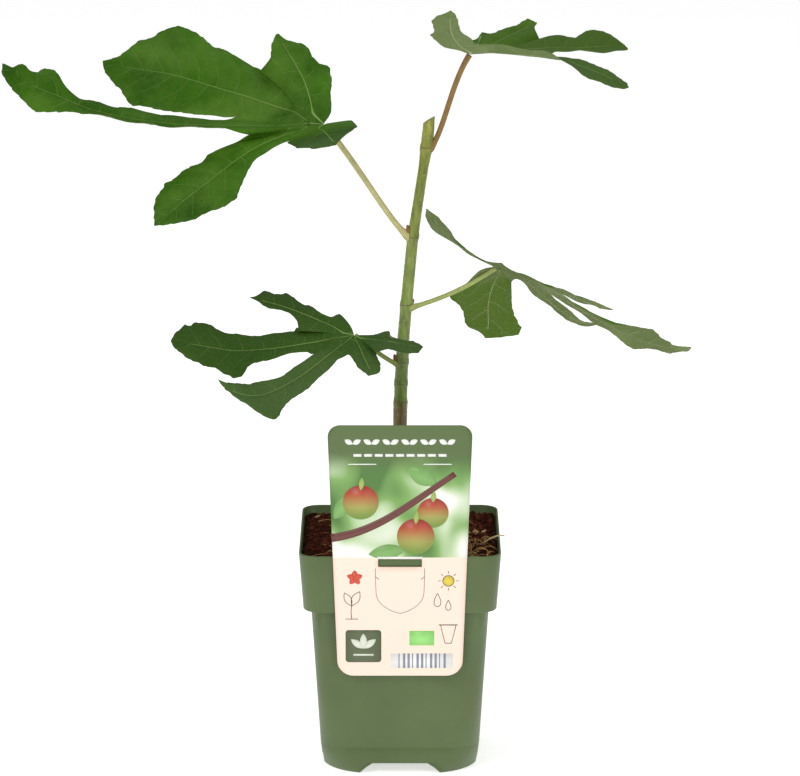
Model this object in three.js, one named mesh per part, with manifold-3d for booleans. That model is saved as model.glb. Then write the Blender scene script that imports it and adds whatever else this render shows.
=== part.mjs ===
// Young fig tree in a square nursery pot.
//
// Millimetres, +Z up. The origin is the middle of the pot's underside, on its central foot.
// The front of the pot, where the label card hangs, faces -Y, and +X is to the right of it.
//
// The plant is one stem with four large palmate leaves, each on its own stalk. Every leaf
// blade is worked out by one rule from a short row of sizes per lobe, see "Leaf blades".

import * as THREE from 'three';
import Module from 'manifold-3d';
import { mergeVertices } from 'three/addons/utils/BufferGeometryUtils.js';

const wasm = await Module();
wasm.setup();

// ---------------------------------------------------------------- driving dimensions

const CLEARANCE = 0.3; // gap between neighbouring pieces

// Pot: a square nursery pot with a tall collar, 13 cm across the rim
const RIM = 65; // half width outside, at the rim
const POT_HEIGHT = 150;
const COLLAR_FOOT = { z: 111.5, half: 62.2 }; // lower edge of the collar
const BODY_TOP = 57.3; // half width of the body under the collar
const PARTING = { z: 17.6, half: 51.7 }; // fine line round the foot of the body
const FOOT = 50.6; // half width at the very bottom
const WALL = 1.3;
const CORNERS = { rim: 12, body: 11, parting: 17, foot: 33 }; // corner radii
const FLOOR = { under: 7.2, top: 8.8 };
const NOTCH = { top: 42, bottom: 48, height: 6.8 }; // gap in the foot, middle of each side
const PAD = { middle: 15, outer: 11, reach: 16 }; // small feet under the floor
const DRAIN = { radius: 5, reach: 30 };
const CORNER_STEPS = 6;

// Growing medium
const SOIL = { edge: 144.3, heap: 146.4, stem: 147 };

// Label card hung on the front of the collar
const CARD = { bottom: 69.3, top: 238.4, halfBottom: 40, halfTop: 46.2, thick: 1.2 };
const CARD_CORNER = { top: 8, bottom: 10 };
const CARD_PLANE = { y: -66.05, slope: -0.0727 }; // y at rim height, and its change with height
const CARD_WINDOW = { half: 14, z0: 143.4, z1: 148.8 };
const HOOK = { half: 14, reach: 132 };

// Stem: centre line as [x, z], then diameters as [z, diameter]
const STEM_LINE = [[0, 147.3], [0, 184], [0, 220], [0.6, 249], [2.4, 282], [5.1, 312],
  [8.2, 345], [13.4, 380], [17.1, 404], [18.7, 421.5]];
const STEM_DIAMETER = [[147.3, 15.5], [149.5, 12], [154, 9.8], [165, 9.1], [236, 9.0], [238, 8.5],
  [262, 8.3], [282, 7.8], [340, 7.3], [372, 6.5], [392, 6.4], [402, 7.9], [412, 7.7], [424, 7.6]];
const STEM_NODES = [[236.7, 0.35], [248.7, 0.45], [263, 0.5], [301, 0.5], [345.5, 0.6], [404, 0.4]];
const STEM_CUT = 0.62; // slope of the slanting cut at the tip
const STEM_SIDES = 16;
const BUDS = [ // [z on the stem, heading in degrees, length, radius]
  [266, 190, 4.6, 1.6], [351, 200, 5.4, 1.7], [408, 20, 3.6, 1.3], [303, 20, 3, 1.2]];

// Leaf blades
const BLADE = 2.4; // thickness
const ALONG = 6; // greatest spacing of the sections along a lobe
const ACROSS = 2; // cells from midrib to margin
const WEB = 0.12; // share of a margin that rounds into the web between two lobes
const FAN = 1.6; // how fast the sections that fan out from J turn square to the midrib
const CLOSEST = 1.5; // least spacing of the sections

// ---------------------------------------------------------------- small helpers

const rad = THREE.MathUtils.degToRad;
const lerp = THREE.MathUtils.lerp;
const clamp01 = (x) => Math.min(1, Math.max(0, x));
const ease01 = (x) => { const t = clamp01(x); return t * t * (3 - 2 * t); };
const V = (x, y, z) => new THREE.Vector3(x, y, z);

function fromTable(table, x) {
  if (x <= table[0][0]) return table[0][1];
  for (let i = 1; i < table.length; i++) {
    const [x1, v1] = table[i];
    const [x0, v0] = table[i - 1];
    if (x <= x1) return lerp(v0, v1, (x - x0) / (x1 - x0));
  }
  return table[table.length - 1][1];
}

function geometry(points, triangles) {
  const g = new THREE.BufferGeometry();
  g.setAttribute('position', new THREE.Float32BufferAttribute(points.flatMap((p) => [p.x, p.y, p.z]), 3));
  g.setIndex(triangles);
  return g;
}

// Closed body through rings of equal length, counterclockwise seen from the last ring,
// each end closed by a fan round its middle.
function loft(rings) {
  const n = rings[0].length;
  const points = rings.flat();
  const triangles = [];
  for (let r = 0; r + 1 < rings.length; r++) {
    for (let i = 0; i < n; i++) {
      const a = r * n + i, b = r * n + (i + 1) % n;
      triangles.push(a, b, b + n, a, b + n, a + n);
    }
  }
  const middle = (ring) => ring.reduce((s, p) => s.add(p), V(0, 0, 0)).divideScalar(n);
  const first = points.push(middle(rings[0])) - 1;
  const last = points.push(middle(rings[rings.length - 1])) - 1;
  const top = (rings.length - 1) * n;
  for (let i = 0; i < n; i++) {
    triangles.push(first, (i + 1) % n, i, last, top + i, top + (i + 1) % n);
  }
  return geometry(points, triangles);
}

// Round section swept along a curve with a radius that changes along it
function tube(curve, radius, steps, sides) {
  const frames = curve.computeFrenetFrames(steps, false);
  const rings = [];
  for (let i = 0; i <= steps; i++) {
    const c = curve.getPointAt(i / steps);
    const r = radius(i / steps);
    rings.push(Array.from({ length: sides }, (_, k) => {
      const a = (2 * Math.PI * k) / sides;
      return c.clone().addScaledVector(frames.normals[i], r * Math.cos(a))
        .addScaledVector(frames.binormals[i], r * Math.sin(a));
    }));
  }
  return loft(rings);
}

function solid(g) {
  let clean = g.clone();
  for (const name of Object.keys(clean.attributes)) if (name !== 'position') clean.deleteAttribute(name);
  clean = mergeVertices(clean, 1e-4);
  return new wasm.Manifold(new wasm.Mesh({
    numProp: 3,
    vertProperties: new Float32Array(clean.attributes.position.array),
    triVerts: new Uint32Array(clean.index.array),
  }));
}

function fromSolid(body) {
  const mesh = body.getMesh();
  const g = new THREE.BufferGeometry();
  g.setAttribute('position', new THREE.BufferAttribute(new Float32Array(mesh.vertProperties), 3));
  g.setIndex(new THREE.BufferAttribute(new Uint32Array(mesh.triVerts), 1));
  return g;
}

const box = (x0, x1, y0, y1, z0, z1) => new THREE.BoxGeometry(x1 - x0, y1 - y0, z1 - z0)
  .translate((x0 + x1) / 2, (y0 + y1) / 2, (z0 + z1) / 2);

const fig = new THREE.Group();

function add(name, g, colour, roughness) {
  g.computeVertexNormals();
  const mesh = new THREE.Mesh(g, new THREE.MeshStandardMaterial({ color: colour, roughness, metalness: 0 }));
  mesh.name = name;
  fig.add(mesh);
  return mesh;
}

// ---------------------------------------------------------------- pot and soil

// Rounded square, counterclockwise from above
function squareRing(half, corner, z) {
  const ring = [];
  for (let q = 0; q < 4; q++) {
    const a0 = q * Math.PI / 2;
    const cx = (half - corner) * (q === 0 || q === 3 ? 1 : -1);
    const cy = (half - corner) * (q < 2 ? 1 : -1);
    for (let i = 0; i <= CORNER_STEPS; i++) {
      const a = a0 + (i / CORNER_STEPS) * Math.PI / 2;
      ring.push(V(cx + corner * Math.cos(a), cy + corner * Math.sin(a), z));
    }
  }
  return ring;
}

// Half width and corner radius of the outside at a height
function potOutside(z, collar) {
  if (collar) {
    const t = (z - COLLAR_FOOT.z) / (POT_HEIGHT - COLLAR_FOOT.z);
    return [lerp(COLLAR_FOOT.half, RIM, t), CORNERS.rim];
  }
  if (z <= PARTING.z) {
    const t = z / PARTING.z;
    return [lerp(FOOT, PARTING.half, t), lerp(CORNERS.foot, CORNERS.parting, t)];
  }
  const t = (z - PARTING.z) / (COLLAR_FOOT.z - PARTING.z);
  return [lerp(PARTING.half, BODY_TOP, t), lerp(CORNERS.parting, CORNERS.body, t)];
}

function wallRing(z, collar, inset) {
  const [half, corner] = potOutside(z, collar);
  return squareRing(half - inset, Math.max(2, corner - inset), z);
}

const shelf = COLLAR_FOOT.z + WALL; // inside step under the collar
let pot = solid(loft([
  wallRing(0, false, 0.8), wallRing(0.8, false, 0), wallRing(8, false, 0), wallRing(PARTING.z, false, 0),
  wallRing(60, false, 0), wallRing(COLLAR_FOOT.z - 1.5, false, 0), wallRing(COLLAR_FOOT.z, true, 4.2),
  wallRing(COLLAR_FOOT.z, true, 0.6), wallRing(COLLAR_FOOT.z + 0.6, true, 0),
  wallRing(POT_HEIGHT - 0.6, true, 0), wallRing(POT_HEIGHT, true, 0.5),
  wallRing(POT_HEIGHT, true, WALL - 0.2), wallRing(POT_HEIGHT - 0.5, true, WALL),
  wallRing(shelf, true, WALL), wallRing(shelf, true, 4.6 + WALL),
  wallRing(60, false, WALL), wallRing(PARTING.z, false, WALL), wallRing(FLOOR.top, false, WALL),
]));
pot = pot.subtract(solid(loft([wallRing(-1, false, WALL + 0.3), wallRing(FLOOR.under, false, WALL)])));
const padBoxes = [[0, 0, PAD.middle]];
for (const sx of [-1, 1]) {
  for (const sy of [-1, 1]) padBoxes.push([sx * PAD.reach, sy * PAD.reach, PAD.outer]);
}
for (const [x, y, w] of padBoxes) {
  pot = pot.add(solid(box(x - w / 2, x + w / 2, y - w / 2, y + w / 2, 0, (FLOOR.under + FLOOR.top) / 2)));
}
for (let q = 0; q < 4; q++) {
  const outline = new THREE.Shape([
    new THREE.Vector2(-NOTCH.bottom / 2, -1), new THREE.Vector2(NOTCH.bottom / 2, -1),
    new THREE.Vector2(NOTCH.top / 2, NOTCH.height), new THREE.Vector2(-NOTCH.top / 2, NOTCH.height)]);
  const notch = new THREE.ExtrudeGeometry(outline, { depth: 20, bevelEnabled: false });
  notch.rotateX(Math.PI / 2).translate(0, -40, 0).rotateZ(q * Math.PI / 2);
  pot = pot.subtract(solid(notch));
  const drain = new THREE.CylinderGeometry(DRAIN.radius, DRAIN.radius, 6, 16).rotateX(Math.PI / 2);
  drain.translate(0, -DRAIN.reach, FLOOR.top).rotateZ(q * Math.PI / 2 + Math.PI / 4);
  pot = pot.subtract(solid(drain));
}
add('pot', fromSolid(pot), 0x66784e, 0.45);

// The soil fills the pot to just under the rim, heaped a little, flat where the stem stands
const near = WALL + CLEARANCE;
let soil = solid(loft([
  wallRing(FLOOR.top + CLEARANCE, false, near), wallRing(PARTING.z, false, near), wallRing(60, false, near),
  wallRing(shelf + CLEARANCE, true, 4.6 + near), wallRing(shelf + CLEARANCE, true, near),
  wallRing(SOIL.edge, true, near), squareRing(48, 16, SOIL.heap), squareRing(16, 8, SOIL.stem),
]));
soil = soil.subtract(solid(box(-HOOK.half - 1, HOOK.half + 1, -RIM, -58.5, HOOK.reach - 1, POT_HEIGHT)));
add('soil', fromSolid(soil), 0x2e2019, 0.95);

// ---------------------------------------------------------------- label card

const cardY = (z) => CARD_PLANE.y + CARD_PLANE.slope * (z - POT_HEIGHT);
const halfAt = (z) => lerp(CARD.halfBottom, CARD.halfTop, (z - CARD.bottom) / (CARD.top - CARD.bottom));
const cardOutline = new THREE.Shape();
{
  const { top: rt, bottom: rb } = CARD_CORNER;
  const { bottom: z0, top: z1 } = CARD;
  cardOutline.moveTo(-halfAt(z0) + rb, z0);
  cardOutline.lineTo(halfAt(z0) - rb, z0);
  cardOutline.quadraticCurveTo(halfAt(z0), z0, halfAt(z0 + rb), z0 + rb);
  cardOutline.lineTo(halfAt(z1 - rt), z1 - rt);
  cardOutline.quadraticCurveTo(halfAt(z1), z1, halfAt(z1) - rt, z1);
  cardOutline.lineTo(-halfAt(z1) + rt, z1);
  cardOutline.quadraticCurveTo(-halfAt(z1), z1, -halfAt(z1 - rt), z1 - rt);
  cardOutline.lineTo(-halfAt(z0 + rb), z0 + rb);
  cardOutline.quadraticCurveTo(-halfAt(z0), z0, -halfAt(z0) + rb, z0);
  const { half, z0: w0, z1: w1 } = CARD_WINDOW;
  cardOutline.holes.push(new THREE.Path([new THREE.Vector2(-half, w0), new THREE.Vector2(-half, w1),
    new THREE.Vector2(half, w1), new THREE.Vector2(half, w0)]));
}
const plate = new THREE.ExtrudeGeometry(cardOutline,
  { depth: CARD.thick, bevelEnabled: false, curveSegments: 6 });
plate.rotateX(Math.PI / 2);
{
  const p = plate.attributes.position; // lean the plate against the collar
  for (let i = 0; i < p.count; i++) p.setY(i, p.getY(i) + CARD.thick / 2 + cardY(p.getZ(i)));
}
const innerWall = (z) => -potOutside(z, true)[0] + WALL;
const [h0, h1] = [POT_HEIGHT + 0.5, POT_HEIGHT + 1.7];
const hookShape = new THREE.Shape([
  new THREE.Vector2(cardY(h0), h0), new THREE.Vector2(innerWall(POT_HEIGHT) + 0.5, h0),
  new THREE.Vector2(innerWall(HOOK.reach) + 0.5, HOOK.reach),
  new THREE.Vector2(innerWall(HOOK.reach) + 1.7, HOOK.reach),
  new THREE.Vector2(innerWall(POT_HEIGHT) + 1.7, h1), new THREE.Vector2(cardY(h1), h1)]);
const hook = new THREE.ExtrudeGeometry(hookShape, { depth: 2 * HOOK.half, bevelEnabled: false });
hook.rotateX(Math.PI / 2).rotateZ(Math.PI / 2).translate(-HOOK.half, 0, 0);
add('label_card', fromSolid(solid(plate).add(solid(hook))), 0xf3ead2, 0.5);

// ---------------------------------------------------------------- stem

const stemCurve = new THREE.CatmullRomCurve3(STEM_LINE.map(([x, z]) => V(x, 0, z)));
const stemRings = 44;

function stemAt(z) { // centre of the stem at a height
  let lo = 0, hi = 1;
  for (let i = 0; i < 40; i++) {
    const mid = (lo + hi) / 2;
    if (stemCurve.getPoint(mid).z < z) lo = mid; else hi = mid;
  }
  return stemCurve.getPoint((lo + hi) / 2);
}

function stemRadius(z) {
  let r = fromTable(STEM_DIAMETER, z) / 2;
  for (const [zn, swell] of STEM_NODES) r += swell * Math.exp(-(((z - zn) / 2.2) ** 2));
  return r;
}

function stemBody(extra) {
  const z0 = STEM_LINE[0][1];
  const z1 = STEM_LINE[STEM_LINE.length - 1][1];
  const heights = new Set([z0, z0 + 2, z0 + 5]);
  for (let i = 1; i <= stemRings; i++) heights.add(lerp(z0 + 8, z1, i / stemRings));
  const rings = [...heights].sort((a, b) => a - b).map((z) => {
    const c = stemAt(z);
    const r = stemRadius(z) + extra;
    const tilt = STEM_CUT * ease01((z - (z1 - 9)) / 9);
    return Array.from({ length: STEM_SIDES }, (_, k) => {
      const a = (2 * Math.PI * k) / STEM_SIDES;
      const lobed = 1 + 0.09 * Math.cos(5 * a + 0.7) * (1 - ease01((z - z0) / 9));
      return V(c.x + r * lobed * Math.cos(a), c.y + r * lobed * Math.sin(a), z + tilt * r * Math.cos(a));
    });
  });
  return solid(loft(rings));
}

function stemWithBuds(extra) {
  let body = stemBody(extra);
  for (const [z, heading, length, radius] of BUDS) {
    const out = V(Math.cos(rad(heading)), Math.sin(rad(heading)), 0);
    const base = stemAt(z - length * 0.45);
    base.addScaledVector(out, stemRadius(base.z) - radius * 0.35);
    const tip = base.clone().addScaledVector(out, radius * 0.7).add(V(0, 0, length));
    const line = new THREE.LineCurve3(base.clone().add(V(0, 0, -0.6)), tip);
    const round = (t) => radius * (0.25 + 0.75 * Math.sin(Math.PI * Math.min(0.98, 0.3 + 0.68 * t))) + extra;
    body = body.add(solid(tube(line, round, 5, 8)));
  }
  return body;
}

const stem = stemWithBuds(0);
add('stem', fromSolid(stem), 0x7d8a45, 0.55);

// ---------------------------------------------------------------- leaf blades

// A blade has five lobes, listed counterclockwise from above, spreading from the point J
// where the stalk joins. Headings run counterclockwise from +X, rises up from level and
// rolls lift the left side; each is given at the lobe's start and tip, in degrees. ease holds
// the turn back towards the tip, bow bends the rise on the way, and twist adds so many degrees
// of roll between two shares of the length. The margin on either side, seen from J, is a row of
// [share of the length, distance from the midrib]. fold lifts either half in the same way, and
// an ear reaches back past J. The sinus list gives how far from J the margin dips between
// neighbouring lobes, dip how far below or above the blade, and lean which of the two it lies
// nearer.
const LEAVES = {
  upper_left: {
    J: [-49, 0, 419], wave: 0.8, waveLength: 26, arch: 0.05,
    sinus: [60, 56, 49, 28], dip: [0, 0, 3, 0], lean: [0.5, 0.5, 0.5, 0.3],
    lobes: [
      {
        length: 73, heading: [120, 130], rise: [40, 50], roll: [-10, -10],
        right: [[0, 0], [0.1, 8.5], [0.56, 23], [0.59, 22.5], [0.61, 18.5], [0.7, 15], [0.84, 13.2],
          [0.93, 2.5], [1, 0]],
        left: [[0.66, 21], [0.75, 14.5], [0.95, 5.8], [1, 1.5]],
      },
      {
        length: 160, heading: [153, 161], rise: [12, 10], roll: [-42, -42],
        right: [[0.33, 27], [0.4, 26], [0.55, 33], [0.6, 32.3], [0.7, 40], [0.75, 41.5], [0.78, 40.5],
          [0.83, 33.2], [0.85, 27.5], [0.9, 22.5], [0.95, 5.2], [1, 0]],
        left: [[0.3, 13], [0.6, 24.3], [0.79, 28], [0.95, 10.3], [0.98, 6], [1, 0]],
      },
      {
        length: 210, heading: [184, 178], rise: [-2.2, 39.6], ease: 2.1, roll: [-8, -62],
        right: [[0.235, 9], [0.55, 6.6], [0.6, 8], [0.75, 5], [0.8, 9.2], [0.85, 17.5], [0.886, 14.5],
          [0.89, 10.3], [0.904, 8.2], [0.955, 7.2], [0.961, 6.3], [0.965, 1.4], [1, 0]],
        left: [[0.22, 12], [0.5, 14.3], [0.75, 8], [0.85, 17.2], [0.98, 6], [1, 0]],
      },
      {
        length: 132, heading: [192, 212], rise: [-2, -36], ease: 0.45, roll: [-10, -30],
        right: [[0.31, 19], [0.4, 15.2], [0.55, 18.8], [0.6, 16], [0.75, 18], [0.8, 20.3],
          [0.82, 17.3], [0.88, 15], [0.93, 10.5], [1, 0]],
        left: [[0.22, 6.3], [0.4, 8], [0.5, 14.3], [0.62, 26.5], [0.85, 17.2], [1, 0]],
      },
      {
        length: 36, heading: [278, 290], rise: [-12, -12], roll: [10, 10],
        right: [[0.44, 28.5], [0.6, 24.3], [0.84, 23.8], [0.88, 16], [0.93, 16.5], [0.97, 13], [1, 0]],
        left: [[0, 0], [0.03, 12], [0.06, 18], [0.3, 20], [0.4, 20], [0.6, 15.2], [0.8, 5], [1, 0]],
      },
    ],
  },
  lower_left: {
    J: [-29.6, -12, 283.6], wave: 0.8, waveLength: 26, arch: 0.04,
    sinus: [38, 28, 19, 22], dip: [0, 0, 0, 0], lean: [0.5, 0.5, 0.5, 0.5],
    lobes: [
      {
        length: 79, heading: [148, 156], rise: [14, 10], roll: [-25, -25],
        right: [[0, 3], [0.262, 13.2], [0.28, 6.2], [0.3, 5.5], [0.76, 13.7], [0.775, 11],
          [0.94, 10.3], [0.955, 3], [1, 0]],
        left: [[0.47, 9.2], [0.6, 3.5], [0.85, 3.3], [1, 0]],
      },
      {
        length: 120, heading: [181, 175], rise: [-18, 13], roll: [-20, -40],
        right: [[0.305, 24.5], [0.32, 18.5], [0.4, 16], [0.6, 13.8], [0.7, 14.2], [0.8, 19.4],
          [0.9, 18.8], [0.912, 15.8], [0.955, 16], [0.97, 9], [0.985, 10], [0.988, 6], [0.995, 4.5],
          [1, 0]],
        left: [[0.245, 9.6], [0.26, 6.3], [0.3, 5.2], [0.5, 9.7], [0.55, 12.5], [0.575, 16],
          [0.595, 24], [0.64, 25], [0.66, 22], [0.7, 20], [0.73, 16.5], [0.8, 16.4], [0.82, 14],
          [0.9, 10.3], [0.97, 5], [1, 0]],
      },
      {
        length: 109, heading: [216, 160], rise: [-28, 60], ease: 4, roll: [-25, -60],
        right: [[0.29, 8], [0.5, 8.3], [0.7, 11.3], [0.8, 10], [0.9, 6.5], [1, 0]],
        left: [[0.136, 10.3], [0.2, 7.3], [0.6, 13], [0.65, 16], [0.7, 22], [0.8, 7.3], [0.85, 3.5],
          [0.9, 0.8], [1, 0]],
      },
      {
        length: 39, heading: [285, 293], rise: [-26, -34], roll: [10, 10],
        right: [[0.48, 7.5], [0.8, 5.7], [1, 1.5]],
        left: [[0.5, 10], [0.9, 8], [1, 4.5]],
      },
      {
        length: 47, heading: [342, 342], rise: [-5, -7], roll: [10, 10],
        right: [[0.47, 21], [0.52, 17], [0.6, 14], [0.8, 14.3], [1, 10]],
        left: [[0, 0.5], [0.2, 3.6], [0.368, 12.6], [0.44, 12.9], [0.452, 5.4], [0.5, 2.3], [0.816, 7],
          [1, 0]],
      },
    ],
  },
  top_right: {
    J: [44.9, 0, 464.5], wave: 0.8, waveLength: 26, arch: 0.04,
    sinus: [24, 52, 55, 24], dip: [0, 0, 0, 0], lean: [0.5, 0.5, 0.5, 0.5],
    lobes: [
      {
        length: 56, heading: [235, 272], rise: [20, 56], roll: [15, 10],
        right: [[0, 0], [0.625, 14.5], [0.665, 10.9], [0.885, 12.4], [0.9, 10.3], [0.935, 9.5],
          [0.965, 3], [1, 0]],
        left: [[0.4, 10], [0.6, 5.5], [0.9, 3.7], [1, 0]],
      },
      {
        length: 115, heading: [345, 310], rise: [3, -21], ease: 1.5,
        roll: [-60, -60], twist: [70, 0.35, 0.75],
        right: [[0.2, 10], [0.8, 11.5], [0.95, 8], [1, 2]],
        left: [[0.36, 9], [0.45, 6.5], [0.96, 3.6], [1, 1]],
        fold: [[[0, 0]], [[0, 50], [1, 0]]],
      },
      {
        length: 106, heading: [14, 18], rise: [-1, -1], roll: [0, 0],
        right: [[0.47, 12], [0.82, 13.6], [0.94, 8], [0.98, 4], [1, 0]],
        left: [[0.46, 24.4], [0.475, 20], [0.5, 17], [0.7, 15], [0.8, 20.4], [0.9, 19.8], [0.93, 17],
          [0.96, 11.5], [1, 1]],
        fold: [[[0, 20], [1, 0]], [[0, 25], [1, 28]]],
      },
      {
        length: 75, heading: [52, 56], rise: [4, 12], roll: [0, 0],
        right: [[0.6, 22], [1, 2]],
        left: [[0.28, 8.5], [0.5, 11], [0.6, 10.4], [0.75, 6.5], [1, 6.4]],
        fold: [[[0, 10]], [[0, 20]]],
      },
      {
        length: 46, heading: [82, 76], rise: [7, 9], roll: [0, 0],
        right: [[0.5, 12], [0.7, 13], [0.85, 11], [0.95, 6], [1, 0]],
        left: [[0, 0], [0.1, 4], [0.3, 6], [0.5, 5], [0.7, 0.9], [1, 0.8]],
      },
    ],
  },
  right: {
    J: [62.5, 0, 325.5], wave: 0.6, waveLength: 26, arch: 0.04,
    sinus: [24, 46, 38, 20], dip: [0, 0, 0, 1], lean: [0.5, 0.4, 0.4, 0.38],
    lobes: [
      {
        length: 67, heading: [200, 212], rise: [23, 57], roll: [0, 6],
        right: [[0, 0], [0.35, 3.2], [0.5, 6], [0.7, 12.4], [0.85, 9.5], [1, 0.8]],
        left: [[0.3, 3], [0.5, 4.5], [0.7, 9.5], [0.8, 9.3], [0.91, 8.6], [0.93, 7.5], [0.95, 3],
          [1, 0.6]],
      },
      {
        length: 88, heading: [340, 318], rise: [-13, -1], bow: -8, roll: [-20, -40],
        right: [[0.27, 8], [0.4, 2.5], [0.6, 9], [0.8, 7], [1, 0]],
        left: [[0.53, 5], [0.7, 7], [0.8, 3.6], [0.85, 4.8], [0.9, 2], [1, 0]],
      },
      {
        length: 139, heading: [4, -4], rise: [-17.5, 5], bow: -26, roll: [-25, -50],
        right: [[0.335, 5], [0.4, 3], [0.5, 3.4], [0.6, 6.3], [0.79, 18.5], [0.85, 8.6], [0.9, 5],
          [0.91, 2], [1, 0.5]],
        left: [[0.27, 4], [0.6, 4.9], [0.75, 12], [0.8, 7.4], [0.85, 5.8], [0.9, 7], [0.98, 4.2],
          [1, 1]],
      },
      {
        length: 92, heading: [35, 21], rise: [-12, 0], bow: -38, roll: [-25, -30],
        right: [[0.41, 6], [0.7, 5.9], [0.9, 0.4], [1, 0.3]],
        left: [[0.22, 4], [0.4, 6.1], [0.7, 3.2], [0.9, 7.6], [0.95, 6.3], [1, 0.6]],
      },
      {
        length: 57, heading: [120, 96], rise: [-66, -66], roll: [0, 0], ear: 5,
        right: [[0.29, 13.7], [0.675, 17.8], [0.868, 24], [0.977, 21.3], [0.983, 17], [0.99, 8.4],
          [1, 0]],
        left: [[-0.1, 8.5], [0.19, 20.3], [0.29, 27], [0.36, 29], [0.58, 17.3], [0.82, 12.4],
          [0.85, 10.6], [0.9, 3.1], [0.93, 1], [1, 0]],
      },
    ],
  },
};

const RIB_STEPS = 60;

// Midrib of a lobe: points C with the direction T, the right side S and the upper normal N
function midrib(J, lobe) {
  const C = [J.clone()], T = [], S = [], N = [];
  for (let i = 0; i <= RIB_STEPS; i++) {
    const u = i / RIB_STEPS;
    const e = u ** (lobe.ease ?? 1);
    const h = rad(lerp(...lobe.heading, e));
    const r = rad(lerp(...lobe.rise, e) + (lobe.bow ?? 0) * Math.sin(Math.PI * u));
    const [turn, first, last] = lobe.twist ?? [0, 0, 1];
    const q = rad(lerp(...lobe.roll, e) + turn * ease01((u - first) / (last - first)));
    const t = V(Math.cos(r) * Math.cos(h), Math.cos(r) * Math.sin(h), Math.sin(r));
    const s0 = V(Math.sin(h), -Math.cos(h), 0);
    const n0 = s0.clone().cross(t);
    T.push(t);
    N.push(n0.clone().multiplyScalar(Math.cos(q)).addScaledVector(s0, Math.sin(q)));
    S.push(s0.clone().multiplyScalar(Math.cos(q)).addScaledVector(n0, -Math.sin(q)));
  }
  for (let i = 0; i < RIB_STEPS; i++) {
    const mid = T[i].clone().add(T[i + 1]).multiplyScalar(0.5 * lobe.length / RIB_STEPS);
    C.push(C[i].clone().add(mid));
  }
  return { length: lobe.length, C, T, S, N };
}

function along(rib, s, key) {
  const x = clamp01(s / rib.length) * RIB_STEPS;
  const i = Math.min(Math.floor(x), RIB_STEPS - 1);
  return rib[key][i].clone().lerp(rib[key][i + 1], x - i);
}

// Where the margin of a half lobe starts: at the web shared with the next lobe, or at J
function marginStart(leaf, ribs, sinusPoints, k, side) {
  const shared = k + side >= 0 && k + side < leaf.lobes.length;
  const { C: [J], T: [T], length } = ribs[k];
  if (!shared) return { shared, inner: J, start: -(leaf.lobes[k].ear ?? 0) };
  const inner = sinusPoints[Math.min(k, k + side)];
  return { shared, inner, start: Math.max(0.04 * length, inner.clone().sub(J).dot(T)) };
}

// Sections fan out from J to the web and turn square to the midrib. The one that leaves the
// midrib m from J meets the margin s along, and the other way round by halving the interval.
const fanOut = (m, start, L) => m + start * (1 - m / L) ** Math.min(FAN, 0.9 * L / Math.max(start, 1));

function fanIn(s, start, L) {
  let [low, high] = [0, L];
  for (let n = 0; n < 24; n++) {
    const m = (low + high) / 2;
    if (fanOut(m, start, L) < s) low = m;
    else high = m;
  }
  return low;
}

// Places on the midrib for the sections: where either margin turns, and even steps between
function sectionPlaces(lobe, starts) {
  const L = lobe.length;
  const turns = [lobe.right, lobe.left].flatMap((row, i) => row
    .filter(([share]) => share * L > starts[i] && share < 1)
    .map(([share]) => fanIn(share * L, starts[i], L)));
  const places = [0];
  for (const to of [...turns.sort((a, b) => a - b), L]) {
    const from = places[places.length - 1];
    if (to - from < CLOSEST && to < L) continue;
    const steps = Math.ceil((to - from) / ALONG);
    for (let n = 1; n <= steps; n++) places.push(lerp(from, to, n / steps));
  }
  return places;
}

// Grid of points over one half of a lobe, rows along it and columns from midrib to margin.
// side is -1 for the right half and 1 for the left.
function halfLobe(leaf, ribs, ends, places, k, side) {
  const lobe = leaf.lobes[k], rib = ribs[k], L = lobe.length, i = side < 0 ? 0 : 1;
  const row = side < 0 ? lobe.right : lobe.left;
  const { shared, inner, start } = ends[i];
  const share = (s) => (s - start) / (L - start);
  const margin = (s) => {
    const fold = rad(lobe.fold ? fromTable(lobe.fold[i], s / L) : 0);
    const wave = leaf.wave * Math.sin((s / leaf.waveLength) * 2 * Math.PI + k * 1.7 + i * 2.1)
      * ease01(share(s) / 0.3) * ease01((1 - share(s)) / 0.3);
    const w = s < L ? fromTable(row, s / L) : 0;
    return along(rib, s, 'C').addScaledVector(along(rib, s, 'T'), Math.min(s, 0))
      .addScaledVector(along(rib, s, 'S'), -side * Math.cos(fold) * w)
      .addScaledVector(along(rib, s, 'N'), Math.sin(fold) * w + wave);
  };
  const jump = inner.clone().sub(margin(start));
  return places.map((m) => {
    const s = m < L ? fanOut(m, start, L) : L;
    const u = clamp01(share(s) / WEB);
    const E = margin(s).addScaledVector(jump, shared ? 1 - Math.sqrt(u * (2 - u)) : (1 - u) ** 2);
    const M = along(rib, m, 'C');
    const n = along(rib, m, 'N');
    const lift = leaf.arch * M.distanceTo(E) * ease01(share(s) / 0.25);
    return Array.from({ length: ACROSS + 1 }, (_, b) => {
      const t = b / ACROSS;
      return M.clone().lerp(E, t).addScaledVector(n, lift * 4 * t * (1 - t));
    });
  });
}

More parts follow.
